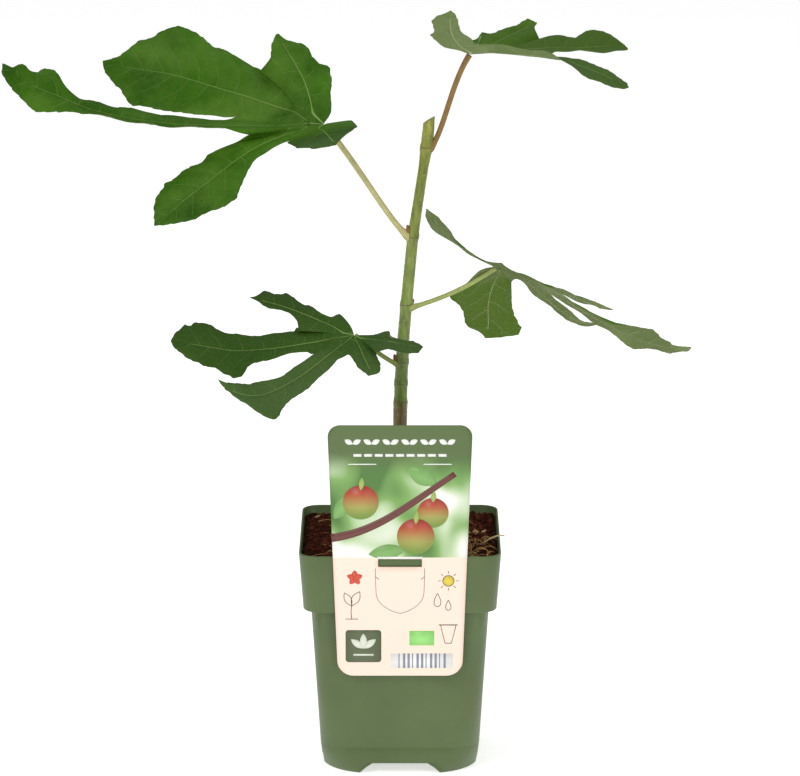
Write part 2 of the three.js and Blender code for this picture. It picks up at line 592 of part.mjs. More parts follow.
// The blade's middle surface as one mesh, thickened both ways and closed round its margin
function bladeSolid(leaf, thickness) {
  const J = V(...leaf.J);
  const ribs = leaf.lobes.map((lobe) => midrib(J, lobe));
  const sinusPoints = leaf.sinus.map((R, j) => {
    const d = along(ribs[j], R, 'C').lerp(along(ribs[j + 1], R, 'C'), leaf.lean[j]).sub(J).normalize();
    const n = along(ribs[j], R, 'N').add(along(ribs[j + 1], R, 'N')).normalize();
    return J.clone().addScaledVector(d, R).addScaledVector(n, leaf.dip[j]);
  });
  const points = [], triangles = [], known = new Map();
  const vertex = (p) => {
    const key = [p.x, p.y, p.z].map((v) => Math.round(v * 1e3)).join();
    if (!known.has(key)) known.set(key, points.push(p) - 1);
    return known.get(key);
  };
  const face = (a, b, c) => { if (a !== b && b !== c && a !== c) triangles.push([a, b, c]); };
  leaf.lobes.forEach((lobe, k) => {
    const ends = [-1, 1].map((side) => marginStart(leaf, ribs, sinusPoints, k, side));
    const places = sectionPlaces(lobe, ends.map((end) => end.start));
    for (const side of [-1, 1]) {
      const grid = halfLobe(leaf, ribs, ends, places, k, side).map((row) => row.map(vertex));
      for (let r = 0; r + 1 < grid.length; r++) {
        for (let c = 0; c < ACROSS; c++) {
          const q = [grid[r][c], grid[r][c + 1], grid[r + 1][c + 1], grid[r + 1][c]];
          if (side > 0) q.reverse();
          face(q[0], q[1], q[2]);
          face(q[0], q[2], q[3]);
        }
      }
    }
  });
  const normals = points.map(() => V(0, 0, 0));
  for (const [a, b, c] of triangles) {
    const n = points[b].clone().sub(points[a]).cross(points[c].clone().sub(points[a]));
    for (const v of [a, b, c]) normals[v].add(n);
  }
  normals.forEach((n) => n.normalize());
  const count = points.length;
  const both = [1, -1].flatMap((way) => points
    .map((p, v) => p.clone().addScaledVector(normals[v], way * thickness / 2)));
  const faces = [], edges = new Map();
  for (const [a, b, c] of triangles) {
    faces.push(a, b, c, a + count, c + count, b + count);
    for (const [u, v] of [[a, b], [b, c], [c, a]]) edges.set(`${u},${v}`, [u, v]);
  }
  for (const [u, v] of edges.values()) {
    if (!edges.has(`${v},${u}`)) faces.push(v, u, u + count, v, u + count, v + count);
  }
  return geometry(both, faces);
}

// ---------------------------------------------------------------- leaf stalks

// Each stalk leaves the stem at a height and heading, and ends under the blade's joint.
// Its two ends are cut back by the stem and the blade, one clearance wide.
const STALKS = {
  upper_left: { z: 344, heading: 182, radius: 1.65, rise: 44, reach: 16,
    end: [18, 0, -25], colour: 0xb9b57c },
  lower_left: { z: 260.5, heading: 205, radius: 1.5, rise: 16, reach: 10,
    end: [12, 4, -10], colour: 0x96a05a },
  top_right: { z: 402.2, heading: -6, radius: 1.75, rise: 28, reach: 9,
    end: [-13, 0, -23], colour: 0x8e6c3d },
  right: { z: 297.8, heading: -6, radius: 1.5, rise: 10, reach: 16,
    end: [-24, 3, -15], colour: 0x97a25c },
};

const fatStem = stemWithBuds(CLEARANCE);
for (const [name, leaf] of Object.entries(LEAVES)) {
  const blade = bladeSolid(leaf, BLADE);
  add(`leaf_${name}`, blade, 0x3f6d2c, 0.5);
  const stalk = STALKS[name];
  const root = stemAt(stalk.z);
  const J = V(...leaf.J);
  const under = V(...stalk.end).normalize();
  const tip = J.clone().addScaledVector(under, BLADE * 0.5 + 1.1);
  const out = V(Math.cos(rad(stalk.heading)), Math.sin(rad(stalk.heading)), Math.tan(rad(stalk.rise)));
  const curve = new THREE.CubicBezierCurve3(root, root.clone().addScaledVector(out, stalk.reach),
    J.clone().add(V(...stalk.end)), tip);
  const flare = (t) => stalk.radius
    * (1 + 0.7 * Math.exp(-((t / 0.09) ** 2)) + 0.12 * Math.exp(-(((1 - t) / 0.08) ** 2)));
  let body = solid(tube(curve, flare, 30, 10)).subtract(fatStem);
  for (const growth of [0, 2]) {
    body = body.subtract(solid(bladeSolid(leaf, BLADE + growth * CLEARANCE)));
  }
  const pieces = body.decompose().sort((a, b) => b.volume() - a.volume());
  add(`stalk_${name}`, fromSolid(pieces[0]), stalk.colour, 0.6);
}

export default fig;
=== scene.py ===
# %% [markdown]
# # A young fig tree in a square nursery pot
#
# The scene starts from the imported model, the frame, which fixes the place and size of every
# piece. Each piece is then made again with the detail that shows: bark, teeth and veins on the
# leaves, crumbs in the soil. The cells below go from the pot upwards to the leaves, and end with
# camera, light and floor.

# %% The frame
import bpy
import numpy as np
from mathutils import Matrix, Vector


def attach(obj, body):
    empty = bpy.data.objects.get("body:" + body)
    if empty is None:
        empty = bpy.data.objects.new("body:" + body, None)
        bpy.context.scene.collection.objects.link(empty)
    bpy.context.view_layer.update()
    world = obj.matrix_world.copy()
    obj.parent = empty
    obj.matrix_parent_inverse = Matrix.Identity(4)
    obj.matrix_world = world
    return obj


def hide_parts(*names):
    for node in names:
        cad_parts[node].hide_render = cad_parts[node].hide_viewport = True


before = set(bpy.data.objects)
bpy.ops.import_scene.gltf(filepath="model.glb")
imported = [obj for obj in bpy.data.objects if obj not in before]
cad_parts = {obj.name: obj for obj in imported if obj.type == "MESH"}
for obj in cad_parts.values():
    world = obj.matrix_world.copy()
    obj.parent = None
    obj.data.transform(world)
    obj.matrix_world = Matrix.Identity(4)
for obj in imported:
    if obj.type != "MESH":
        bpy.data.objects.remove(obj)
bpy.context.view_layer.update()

print("frame:", sorted(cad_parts))

# %% [markdown]
# ## From numbers to meshes
#
# Every surface below is worked out as an array of points in millimetres and a list of faces.
# One function turns both into an object in metres, hides the node of the frame that it stands for,
# and gives it its material. Writing this once keeps the later cells about shape only.

# %% One function makes every object
MM = 0.001
rng = np.random.default_rng(7)


def make(name, points, faces, material, slot, node=None, corners=None, kinds=None, tones=None):
    """Object from points (n, 3) in mm and faces.

    corners maps a UV name to one pair per face corner, kinds picks the material of each face, and
    tones is a number per point that a material can read.
    """
    mesh = bpy.data.meshes.new(name)
    mesh.from_pydata((np.asarray(points) * MM).tolist(), [], [list(map(int, f)) for f in faces])
    for m in material if isinstance(material, list) else [material]:
        mesh.materials.append(m)
    mesh.polygons.foreach_set("use_smooth", np.ones(len(mesh.polygons), bool))
    if kinds is not None:
        mesh.polygons.foreach_set("material_index", np.asarray(kinds, np.int32))
    for key, pairs in (corners or {}).items():
        mesh.uv_layers.new(name=key).data.foreach_set("uv", np.asarray(pairs, np.float32).ravel())
    if tones is not None:
        mesh.attributes.new("tone", "FLOAT", "POINT").data.foreach_set("value", np.asarray(tones, np.float32))
    mesh.update()
    piece = bpy.data.objects.new(name, mesh)
    bpy.context.scene.collection.objects.link(piece)
    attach(piece, "root")
    if node:
        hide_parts(node)
    print(f"{name}: {len(points)} points, {len(faces)} faces")


def smooth(x):
    """3x^2 - 2x^3 with x held between 0 and 1: a soft step."""
    x = np.clip(x, 0, 1)
    return x * x * (3 - 2 * x)


def mix(a, b, t):
    """a + (b - a) t"""
    return a + (b - a) * t


def unit(v):
    """v / |v|"""
    return v / np.maximum(np.linalg.norm(v, axis=-1, keepdims=True), 1e-12)


def grid_faces(rows, cols, ring=True):
    """Quads between points numbered row by row; with ring, the last column joins the first."""
    r, c = np.meshgrid(np.arange(rows - 1), np.arange(cols if ring else cols - 1), indexing="ij")
    a, b = r * cols + c, r * cols + (c + 1) % cols
    return np.stack([a, b, b + cols, a + cols], -1).reshape(-1, 4).tolist()


def closed_rings(rings):
    """Rings (rows, cols, 3), counterclockwise seen from the last, each end closed by a fan."""
    rows, cols = rings.shape[:2]
    points = np.vstack([rings.reshape(-1, 3), rings[0].mean(0), rings[-1].mean(0)])
    c, top = np.arange(cols), (rows - 1) * cols
    first = np.stack([np.full(cols, rows * cols), (c + 1) % cols, c], 1).tolist()
    last = np.stack([np.full(cols, rows * cols + 1), top + c, top + (c + 1) % cols], 1).tolist()
    return points, grid_faces(rows, cols) + first + last


def join(parts):
    """Several (points, faces) as one."""
    points, faces, start = [], [], 0
    for p, f in parts:
        points.append(p)
        faces += [[v + start for v in one] for one in f]
        start += len(p)
    return np.vstack(points), faces


# %% [markdown]
# ## Colours and materials
#
# A colour is picked on a screen as sRGB and used by the renderer as linear light, so one function
# turns one into the other. A second small function adds a shader node with its settings and its
# links, and every material is a few calls of it. Patterns are sized by what they are in life:
# per(4) is a pattern with cells of about 4 mm.

# %% Helpers for materials


def colour(code):
    """'#rrggbb' in sRGB to linear (r, g, b, 1): c/12.92 below 0.04045, else ((c+0.055)/1.055)^2.4"""
    c = np.array([int(code[i:i + 2], 16) for i in (1, 3, 5)]) / 255
    return (*np.where(c <= 0.04045, c / 12.92, ((c + 0.055) / 1.055) ** 2.4).tolist(), 1.0)


def per(mm):
    """Texture scale that gives a pattern of about this many millimetres."""
    return 1000 / mm


def put(tree, kind, inputs=None, **settings):
    """Adds a node. settings are its attributes, inputs its sockets, each a value or a socket to link."""
    node = tree.nodes.new(kind)
    for key, value in settings.items():
        if key == "stops":
            while len(node.color_ramp.elements) < len(value):
                node.color_ramp.elements.new(0.5)
            for element, (place, code) in zip(node.color_ramp.elements, value):
                element.position, element.color = place, colour(code)
        else:
            setattr(node, key, value)
    for key, value in (inputs or {}).items():
        if isinstance(value, bpy.types.NodeSocket):
            tree.links.new(value, node.inputs[key])
        else:
            node.inputs[key].default_value = value
    return node


def begin(name, **constants):
    """A material with its tree and its Principled shader, constants set on the shader's own sockets."""
    m = bpy.data.materials.new(name)
    m.use_nodes = True
    shader = m.node_tree.nodes["Principled BSDF"]
    for key, value in constants.items():
        shader.inputs[key.replace("_", " ")].default_value = value
    return m, m.node_tree, shader


print("half of full sRGB is", round(colour("#808080")[0], 3), "of full light")

# %% [markdown]
# ## The pot
#
# A nursery pot is one thin injection-moulded shell. Every level of it is a rounded square, so the
# whole pot can be described by a list of levels: height, half width, corner radius. The list runs
# from the inner foot, up the outside, over the rim and down the inside. The notches in the foot
# are made by lifting the lowest levels where a side's middle is.

# %% Pot shell
RIM, POT_HEIGHT, WALL = 65, 150, 1.3  # half width at the rim, height and thickness in mm
COLLAR_FOOT = 111.5
COLLAR = [(COLLAR_FOOT, 62.2, 12), (POT_HEIGHT, RIM, 12)]  # height, half width, corner radius
BODY = [(0, 50.6, 33), (17.6, 51.7, 17), (COLLAR_FOOT, 57.3, 11)]
ARC, SIDE = 12, 34  # steps round a corner and along a side


def square_template():
    """c holds the square's corners and the steps between them, d the outward directions."""
    c, d = [], []
    for q in range(4):
        a = q * np.pi / 2 + np.linspace(0, np.pi / 2, ARC + 1)
        here = np.array([[1, 1], [-1, 1], [-1, -1], [1, -1]])[q]
        there = np.array([[-1, 1], [-1, -1], [1, -1], [1, 1]])[q]
        t = (np.arange(1, SIDE) / SIDE)[:, None]
        c += [np.tile(here, (ARC + 1, 1)), mix(here, there, t)]
        d += [np.stack([np.cos(a), np.sin(a)], 1), np.tile([np.cos(a[-1]), np.sin(a[-1])], (SIDE - 1, 1))]
    return np.vstack(c), np.vstack(d)


SQUARE_C, SQUARE_D = square_template()


def square_ring(half, corner, z):
    """(half - corner) c + corner d at height z"""
    xy = (half - corner) * SQUARE_C + corner * SQUARE_D
    return np.column_stack([xy, np.full(len(xy), z)])


def pot_level(z, collar, inset=0.0):
    """Rounded square of the outside at a height, moved inwards by inset."""
    table = np.array(COLLAR if collar else BODY)
    half, corner = np.interp(z, table[:, 0], table[:, 1]), np.interp(z, table[:, 0], table[:, 2])
    return square_ring(half - inset, max(2, corner - inset), z)


SHELF = COLLAR_FOOT + WALL  # the step on the inside
# height, on the collar or not, and inset, from the inner foot up the outside and down the inside
LEVELS = [(7.4, False, WALL), (0.3, False, WALL), (0, False, 1.0), (0, False, 0.5), (0.5, False, 0),
          (8, False, 0), (17.0, False, 0), (17.35, False, 0.22), (17.85, False, 0.22), (18.2, False, 0),
          (60, False, 0), (109.5, False, 0), (110.6, False, -0.3), (111.3, True, 3.9),
          (COLLAR_FOOT, True, 0.8), (111.75, True, 0.25), (112.3, True, 0), (148.9, True, 0),
          (149.6, True, 0.12), (149.95, True, 0.42), (POT_HEIGHT, True, 0.65),
          (149.9, True, WALL - 0.2), (149.4, True, WALL), (SHELF, True, WALL),
          (SHELF, True, 4.6 + WALL), (60, False, WALL), (17.6, False, WALL), (8.6, False, WALL)]
NOTCH_HEIGHT, NOTCH_HALF, NOTCH_SLOPE = 6.8, 24, 3  # in the middle of each side of the foot ring


def pot_shell():
    """All levels as one closed loop of rings, the feet lifted at the notches."""
    shell = np.array([pot_level(*level) for level in LEVELS])
    across = np.minimum(np.abs(shell[..., 0]), np.abs(shell[..., 1]))
    notch = NOTCH_HEIGHT * np.clip((NOTCH_HALF - across) / NOTCH_SLOPE, 0, 1)
    shell[..., 2] = np.maximum(shell[..., 2], np.where(shell[..., 2] < NOTCH_HEIGHT, notch, 0))
    points = shell.reshape(-1, 3)
    # one row of faces more than between the levels joins the last level to the first
    faces = grid_faces(len(LEVELS) + 1, shell.shape[1])
    return points, [[v % len(points) for v in f] for f in faces]


pot_parts = [pot_shell()]
print(f"pot shell: {len(LEVELS)} levels of {len(SQUARE_C)} points")

# %% [markdown]
# The floor is a separate plate with four round holes. Each quarter of it is a fan of lines from
# the hole's edge to the quarter's edge, so the hole is a true circle. Five small square feet stand
# under it, and the whole plant rests on them and on the foot ring.

# %% Pot floor and feet
FLOOR_LOW, FLOOR_HIGH = 7.2, 8.8
FLOOR_HALF, FLOOR_CORNER = 49.9, 25.2  # half width of the floor and radius of its corners
HOLE_PLACE, HOLE_RADIUS, HOLE_STEPS = 21.2, 5, 64


def floor_quarter(sx, sy):
    """Plate from the hole's edge along lines d to the quarter's straight edges or its round corner."""
    a = np.linspace(0, 2 * np.pi, HOLE_STEPS + 1)[:-1]
    d = np.stack([np.cos(a), np.sin(a)], 1)
    hole, centre = np.full(2, HOLE_PLACE), np.full(2, FLOOR_HALF - FLOOR_CORNER)
    with np.errstate(divide="ignore"):
        edge = np.where(d > 0, (FLOOR_HALF - hole) / d, np.where(d < 0, -hole / d, np.inf))
    reach = np.min(edge, axis=1)
    b = (centre - hole) @ d.T
    round_reach = b + np.sqrt(FLOOR_CORNER ** 2 - ((centre - hole) ** 2).sum() + b ** 2)
    in_corner = (hole + d * reach[:, None] > centre).all(1)
    outer = hole + d * np.where(in_corner, round_reach, reach)[:, None]
    inner = hole + HOLE_RADIUS * d
    rings = np.array([np.column_stack([p * [sx, sy], np.full(HOLE_STEPS, z)])
                      for p, z in ((inner, FLOOR_HIGH), (inner, FLOOR_LOW), (outer, FLOOR_LOW),
                                   (outer, FLOOR_HIGH))])[:, :: sx * sy]
    points = rings.reshape(-1, 3)
    return points, [[v % len(points) for v in f] for f in grid_faces(len(rings) + 1, HOLE_STEPS)]


def foot_pad(x, y, w):
    """A square foot of width w under the floor, with slightly drawn-in sides."""
    rings = [square_ring(w / 2 - inset, 1.2, z) + [x, y, 0] for z, inset in ((0, 0.4), (0.4, 0), (7.6, -0.3))]
    return closed_rings(np.array(rings))


PADS = [(0, 0, 15), (16, 16, 11), (-16, 16, 11), (-16, -16, 11), (16, -16, 11)]  # x, y and width
pot_parts += [floor_quarter(sx, sy) for sx in (1, -1) for sy in (1, -1)]
pot_parts += [foot_pad(*pad) for pad in PADS]
print(f"pot: {len(pot_parts)} parts in one mesh")

# %% [markdown]
# The pot is polypropylene, coloured in the mass: a satin, slightly uneven skin. Roughness near
# 0.45 spreads the highlight along the collar, and a shallow grain of about 1 mm keeps it from
# looking like glass. The dust of the bench lies as a faint lighter cloud on it.

# %% Pot material: injection-moulded polypropylene
pot_material, tree, shader = begin("polypropylene_green", Roughness=0.44, IOR=1.49)
place = put(tree, "ShaderNodeTexCoord").outputs["Object"]
cloud = put(tree, "ShaderNodeTexNoise", {"Vector": place, "Scale": per(45), "Detail": 4.0, "Roughness": 0.55})
tint = put(tree, "ShaderNodeValToRGB", {"Fac": cloud.outputs["Fac"]},
           stops=[(0.3, "#4c5f32"), (0.7, "#56693b")])
grain = put(tree, "ShaderNodeTexNoise", {"Vector": place, "Scale": per(1.2), "Detail": 3.0})
bump = put(tree, "ShaderNodeBump", {"Height": grain.outputs["Fac"], "Strength": 0.12, "Distance": 0.0003})
tree.links.new(tint.outputs["Color"], shader.inputs["Base Color"])
tree.links.new(bump.outputs["Normal"], shader.inputs["Normal"])

make("pot_visual", *join(pot_parts), pot_material, "pot", "pot")

# %% [markdown]
# ## The growing medium
#
# Peat-free medium is dark and crumbly, with coir fibres, a few pale chips of wood and one stray
# straw. Its top is a height over the pot's inside: two low heaps at the front, left and right, plus
# lumps at three sizes. The lumps are sums of sines with directions that don't repeat, a cheap
# stand-in for noise that needs no table. Crumbs lie over it as one mesh of small many-sided grains.

# %% Soil body
SOIL_LEVEL, SOIL_HALF, SOIL_INSET = 145.1, 63.4, 1.6  # mean height, half width, gap to the outside
SOIL_EDGE = 144  # height at which the soil meets the wall
STEM_RISE, WALL_DROP = 1.7, 1.6  # how much higher the soil is at the stem and lower at the wall
HEAPS = [(3.4, -26, -30, 24, 26), (4.4, 44, -34, 17, 17)]  # height, x and y of the top, two widths
LUMPS = [(0.9, 30, 1.3), (0.55, 11, 2.1), (0.3, 4, 3.7)]  # height, size, seed


def lumps(x, y, size, seed):
    """Sum over five directions of sin((x cos a + y sin a) 2 pi / size + phase), about -1..1."""
    k = np.arange(5)
    a, phase = k * 2.4 + seed, k * 1.7 * seed
    f = 2 * np.pi / (size * (1 + 0.13 * k))
    return np.sin((x[..., None] * np.cos(a) + y[..., None] * np.sin(a)) * f + phase).sum(-1) / 2.6


def heap(x, y, height, at_x, at_y, wide, deep):
    """height exp(-((x - at_x) / wide)^2 - ((y - at_y) / deep)^2)"""
    return height * np.exp(-(((x - at_x) / wide) ** 2 + ((y - at_y) / deep) ** 2))


def soil_height(x, y):
    """Mean height + heaps + lumps, calm and higher round the stem and lower at the wall."""
    far = np.maximum(np.abs(x), np.abs(y)) / SOIL_HALF
    heaps = sum(heap(x, y, *h) for h in HEAPS)
    rough = sum(height * lumps(x, y, size, seed) for height, size, seed in LUMPS)
    calm = smooth((np.hypot(x, y) - 5) / 12)
    drop = WALL_DROP * smooth((far - 0.86) / 0.14)
    return SOIL_LEVEL + (heaps + rough) * calm + STEM_RISE * (1 - calm) - drop


# height, on the collar or not, inset
SOIL_SIDES = [(9.2, False, SOIL_INSET), (17.6, False, SOIL_INSET), (60, False, SOIL_INSET),
              (111, False, SOIL_INSET), (113.2, True, 6.2), (113.2, True, SOIL_INSET),
              (130, True, SOIL_INSET)]


def soil_body():
    """Rings up the sides, then the top as rings that shrink to a fiftieth of the pot's width."""
    sides = np.array([pot_level(*level) for level in SOIL_SIDES])
    share = np.linspace(0.02, 1, 46)[::-1, None, None]
    top = pot_level(SOIL_EDGE, True, SOIL_INSET)[None] * share
    top[..., 2] = soil_height(top[..., 0], top[..., 1])
    print(f"top of the soil: {top[..., 2].min():.1f} to {top[..., 2].max():.1f} mm")
    return closed_rings(np.concatenate([sides, top]))


soil_points, soil_faces = soil_body()

# %% [markdown]
# The grains are one icosahedron of twenty faces, copied by broadcasting: the same twelve points
# times a rotation, a size and a place for each grain. The sizes follow a lognormal law, with many
# small grains and few large ones, as in anything that has been sieved.

# %% Crumbs
CRUMBS = 4200
G = (1 + 5 ** 0.5) / 2
ICO = unit(np.array([[-1, G, 0], [1, G, 0], [-1, -G, 0], [1, -G, 0],
                     [0, -1, G], [0, 1, G], [0, -1, -G], [0, 1, -G],
                     [G, 0, -1], [G, 0, 1], [-G, 0, -1], [-G, 0, 1]], float))
ICO_FACES = np.array([[0, 11, 5], [0, 5, 1], [0, 1, 7], [0, 7, 10], [0, 10, 11],
                      [1, 5, 9], [5, 11, 4], [11, 10, 2], [10, 7, 6], [7, 1, 8],
                      [3, 9, 4], [3, 4, 2], [3, 2, 6], [3, 6, 8], [3, 8, 9],
                      [4, 9, 5], [2, 4, 11], [6, 2, 10], [8, 6, 7], [9, 8, 1]])


def turns(a, b, c):
    """Rotation matrices (n, 3, 3) about x by a, then y by b, then z by c."""
    zero, one = np.zeros_like(a), np.ones_like(a)
    x = np.array([[one, zero, zero], [zero, np.cos(a), -np.sin(a)], [zero, np.sin(a), np.cos(a)]])
    y = np.array([[np.cos(b), zero, np.sin(b)], [zero, one, zero], [-np.sin(b), zero, np.cos(b)]])
    z = np.array([[np.cos(c), -np.sin(c), zero], [np.sin(c), np.cos(c), zero], [zero, zero, one]])
    return np.einsum("ijn,jkn,kln->nil", z, y, x)


def scatter(template, faces, places, rotations, sizes, jitter):
    """Copies of template points: place + rotation (size * point), each size changed by up to jitter."""
    p = template[None] * sizes[:, None, :]
    p = p * (1 + jitter * rng.uniform(-1, 1, (len(places), len(template), 1)))
    p = np.einsum("nij,nkj->nki", rotations, p) + places[:, None]
    f = np.asarray(faces)[None] + (np.arange(len(places)) * len(template))[:, None, None]
    return p.reshape(-1, 3), f.reshape(-1, f.shape[-1])


STEM_CLEAR = 6.5  # mm round the stem's middle that stay free


def over_soil(n, inside=60.5):
    """n random places on the soil, none of them in the stem."""
    xy = rng.uniform(-inside, inside, (3 * n, 2))
    xy = xy[np.hypot(*xy.T) > STEM_CLEAR][:n]
    return np.column_stack([xy, soil_height(*xy.T)])


def random_turns(n, tilt=np.pi):
    """n rotations, tipped by up to tilt about x and y and turned any way about z."""
    return turns(rng.uniform(-tilt, tilt, n), rng.uniform(-tilt, tilt, n), rng.uniform(0, 2 * np.pi, n))


crumb_sizes = rng.lognormal(0.0, 0.45, CRUMBS)[:, None] * rng.uniform(0.45, 1.15, (CRUMBS, 3))
crumb_places = over_soil(CRUMBS) + [0, 0, 0.25]
crumb_points, crumb_faces = scatter(ICO, ICO_FACES, crumb_places, random_turns(CRUMBS), crumb_sizes, 0.25)
crumb_tones = np.repeat(rng.uniform(0, 1, CRUMBS) ** 2, len(ICO))
print(f"crumbs: half sizes {np.percentile(crumb_sizes, 5):.1f} to {np.percentile(crumb_sizes, 95):.1f} mm")

# %% [markdown]
# Coir comes as round fibres that keep the bend of the husk. Each is a thin tube of six sides whose
# middle line is a low arch with a sideways S. Most lie loose all over, and a coarse bunch of them
# stands up on the right. The chips of wood are flat boxes, copied as the grains are.

# %% Fibres and chips
FIBRES, COARSE_FIBRES, CHIPS, CHIPS_RIGHT = 90, 46, 34, 20


def fibres(places, lengths, radius, rise=(0.3, 2.2)):
    """Bent round fibres of six sides: z = lift sin(pi t) over the length, radius tapering to the ends."""
    t = np.linspace(0, 1, 9)
    a = np.arange(6) * np.pi / 3
    taper = 0.35 + 0.65 * np.sin(np.pi * np.clip(t, 0.04, 0.96))
    ring = np.stack([np.zeros(6), np.cos(a), np.sin(a)], 1)[None] * (radius * taper)[:, None, None]
    line = np.stack([t - 0.5, 0.10 * np.sin(2.2 * np.pi * t), 0 * t], 1)
    out = []
    headings, lifts = rng.uniform(0, 2 * np.pi, len(places)), rng.uniform(*rise, len(places))
    for p, length, turn, lift in zip(places, lengths, headings, lifts):
        bend = line * [length, length * rng.uniform(-1, 1), 0]
        bend[:, 2] = lift * np.sin(np.pi * t) + rng.uniform(-0.08, 0.08) * length * (t - 0.5)
        rings = ring + bend[:, None]
        c, s = np.cos(turn), np.sin(turn)
        x, y, z = np.moveaxis(rings, -1, 0)
        rings = np.stack([x * c - y * s, x * s + y * c, z], -1)
        out.append(closed_rings(rings + p))
    return join(out)


BOX = np.array([[x, y, z] for z in (-1, 1) for y in (-1, 1) for x in (-1, 1)], float)
BOX_FACES = [[0, 2, 3, 1], [4, 5, 7, 6], [0, 1, 5, 4], [2, 6, 7, 3], [0, 4, 6, 2], [1, 3, 7, 5]]
loose = fibres(over_soil(FIBRES, 52) + [0, 0, 0.6], rng.uniform(9, 30, FIBRES), 0.28)
bunch = np.clip([46, -38] + [8, 13] * rng.standard_normal((COARSE_FIBRES, 2)), -58, 58)
bunch = np.column_stack([bunch, soil_height(*bunch.T) + 0.8])
coarse = fibres(bunch, rng.uniform(8, 18, COARSE_FIBRES), 0.42, (0.8, 5.5))
fibre_points, fibre_faces = join([loose, coarse])
chips = over_soil(CHIPS, 56) + [0, 0, 0.8]
chips[:CHIPS_RIGHT, 0] = rng.uniform(8, 56, CHIPS_RIGHT)
chips[:CHIPS_RIGHT, 2] = soil_height(*chips[:CHIPS_RIGHT, :2].T) + 0.8
chip_points, chip_faces = scatter(BOX, BOX_FACES, chips, random_turns(CHIPS, 0.5),
                                  rng.uniform(0.7, 1, (CHIPS, 3)) * [3.4, 1.4, 0.5], 0.2)
print(f"{FIBRES + COARSE_FIBRES} fibres and {CHIPS} chips")

# %% [markdown]
# Moist medium is nearly black where it is deep and brown where it is dry. The soil, crumbs and
# fibres share one way of mixing: a noise picks between two browns, and each grain's own tone
# shifts it. It has no gloss to speak of, so roughness is high and the specular level low.

# %% Soil materials: peat-free growing medium, coir and wood


def earth(name, dark, light, grain_mm, strength=0.6):
    """Rough granular material between two colours."""
    m, tree, shader = begin(name, Roughness=0.95, Specular_IOR_Level=0.1)
    place = put(tree, "ShaderNodeTexCoord").outputs["Object"]
    noise = put(tree, "ShaderNodeTexNoise",
                {"Vector": place, "Scale": per(grain_mm), "Detail": 6.0, "Roughness": 0.65})
    tone = put(tree, "ShaderNodeAttribute", attribute_name="tone")
    both = put(tree, "ShaderNodeMath", {0: noise.outputs["Fac"], 1: tone.outputs["Fac"]}, operation="ADD")
    tint = put(tree, "ShaderNodeValToRGB", {"Fac": both.outputs[0]}, stops=[(0.3, dark), (1.0, light)])
    bump = put(tree, "ShaderNodeBump",
               {"Height": noise.outputs["Fac"], "Strength": strength, "Distance": 0.001})
    tree.links.new(tint.outputs["Color"], shader.inputs["Base Color"])
    tree.links.new(bump.outputs["Normal"], shader.inputs["Normal"])
    return m


peat = earth("growing_medium_moist", "#160503", "#522514", 3)
coir = earth("coir_fibre", "#6a4526", "#b88f5c", 4, 0.3)
wood_chip = earth("wood_chip_pale", "#8c6a47", "#c9ab80", 5, 0.4)
straw_dry = earth("straw_dry", "#a89468", "#d8c69a", 6, 0.3)

make("soil_visual", soil_points, soil_faces, peat, "soil", "soil", tones=np.zeros(len(soil_points)))
make("soil_crumbs", crumb_points, crumb_faces, peat, "soil", tones=crumb_tones)
make("soil_fibres", fibre_points, fibre_faces, coir, "soil",
     tones=rng.uniform(0, 0.5, len(fibre_points)))
make("soil_chips", chip_points, chip_faces, wood_chip, "soil",
     tones=np.repeat(rng.uniform(0, 0.6, CHIPS), len(BOX)))

# %% [markdown]
# ## A tube along a curve
#
# The straw, the stem and the leaf stalks are all round sections carried along a curve. Because
# none of these curves ever runs along +Y, the side of each section can be taken across +Y, and no
# twisting frame has to be followed along the curve.

# %% Tubes


def bezier(a, b, c, d, t):
    """(1-t)^3 a + 3 t (1-t)^2 b + 3 t^2 (1-t) c + t^3 d"""
    t = np.asarray(t)[:, None]
    return (1 - t) ** 3 * a + 3 * t * (1 - t) ** 2 * b + 3 * t * t * (1 - t) * c + t ** 3 * d


def tube_rings(line, radius, sides):
    """Points line + r(t, a) (side cos a + other sin a), side = T x Y, other = side x T."""
    T = unit(np.gradient(line, axis=0))
    side = unit(np.cross(T, [0.0, 1.0, 0.0]))
    other = np.cross(T, side)
    a = np.arange(sides) * 2 * np.pi / sides
    r = radius(np.linspace(0, 1, len(line))[:, None], a[None])
    across, up = side[:, None] * np.cos(a)[None, :, None], other[:, None] * np.sin(a)[None, :, None]
    return line[:, None] + r[..., None] * (across + up)


STRAW = np.array([[48, -36, 147], [56, -32, 152], [62, -29, 155.5], [67.5, -27, 153.5]], float)
STRAW_RADIUS = 0.45
straw_rings = tube_rings(bezier(*STRAW, np.linspace(0, 1, 14)), lambda t, a: STRAW_RADIUS + 0 * t * a, 8)
straw_points, straw_faces = closed_rings(straw_rings)
make("soil_straw", straw_points, straw_faces, straw_dry, "soil", tones=np.full(len(straw_points), 0.4))

# %% [markdown]
# ## The label card
#
# The card is a thin tapered plastic sheet with a small window, hung over the rim on a folded
# strip. Both are first made as open sheets without a thickness, as the leaves will be too. One
# general function then gives any open sheet a thickness: both sides are moved along the normals,
# and every edge that belongs to one face only gets a strip.

# %% Thickening a sheet


def vertex_normals(points, tris):
    """Sum of (b - a) x (c - a) over the triangles at a vertex, made a unit."""
    n = np.cross(points[tris[:, 1]] - points[tris[:, 0]], points[tris[:, 2]] - points[tris[:, 0]])
    total = np.stack([np.bincount(tris.ravel(), np.repeat(n[:, i], 3), len(points)) for i in range(3)], 1)
    return unit(total)


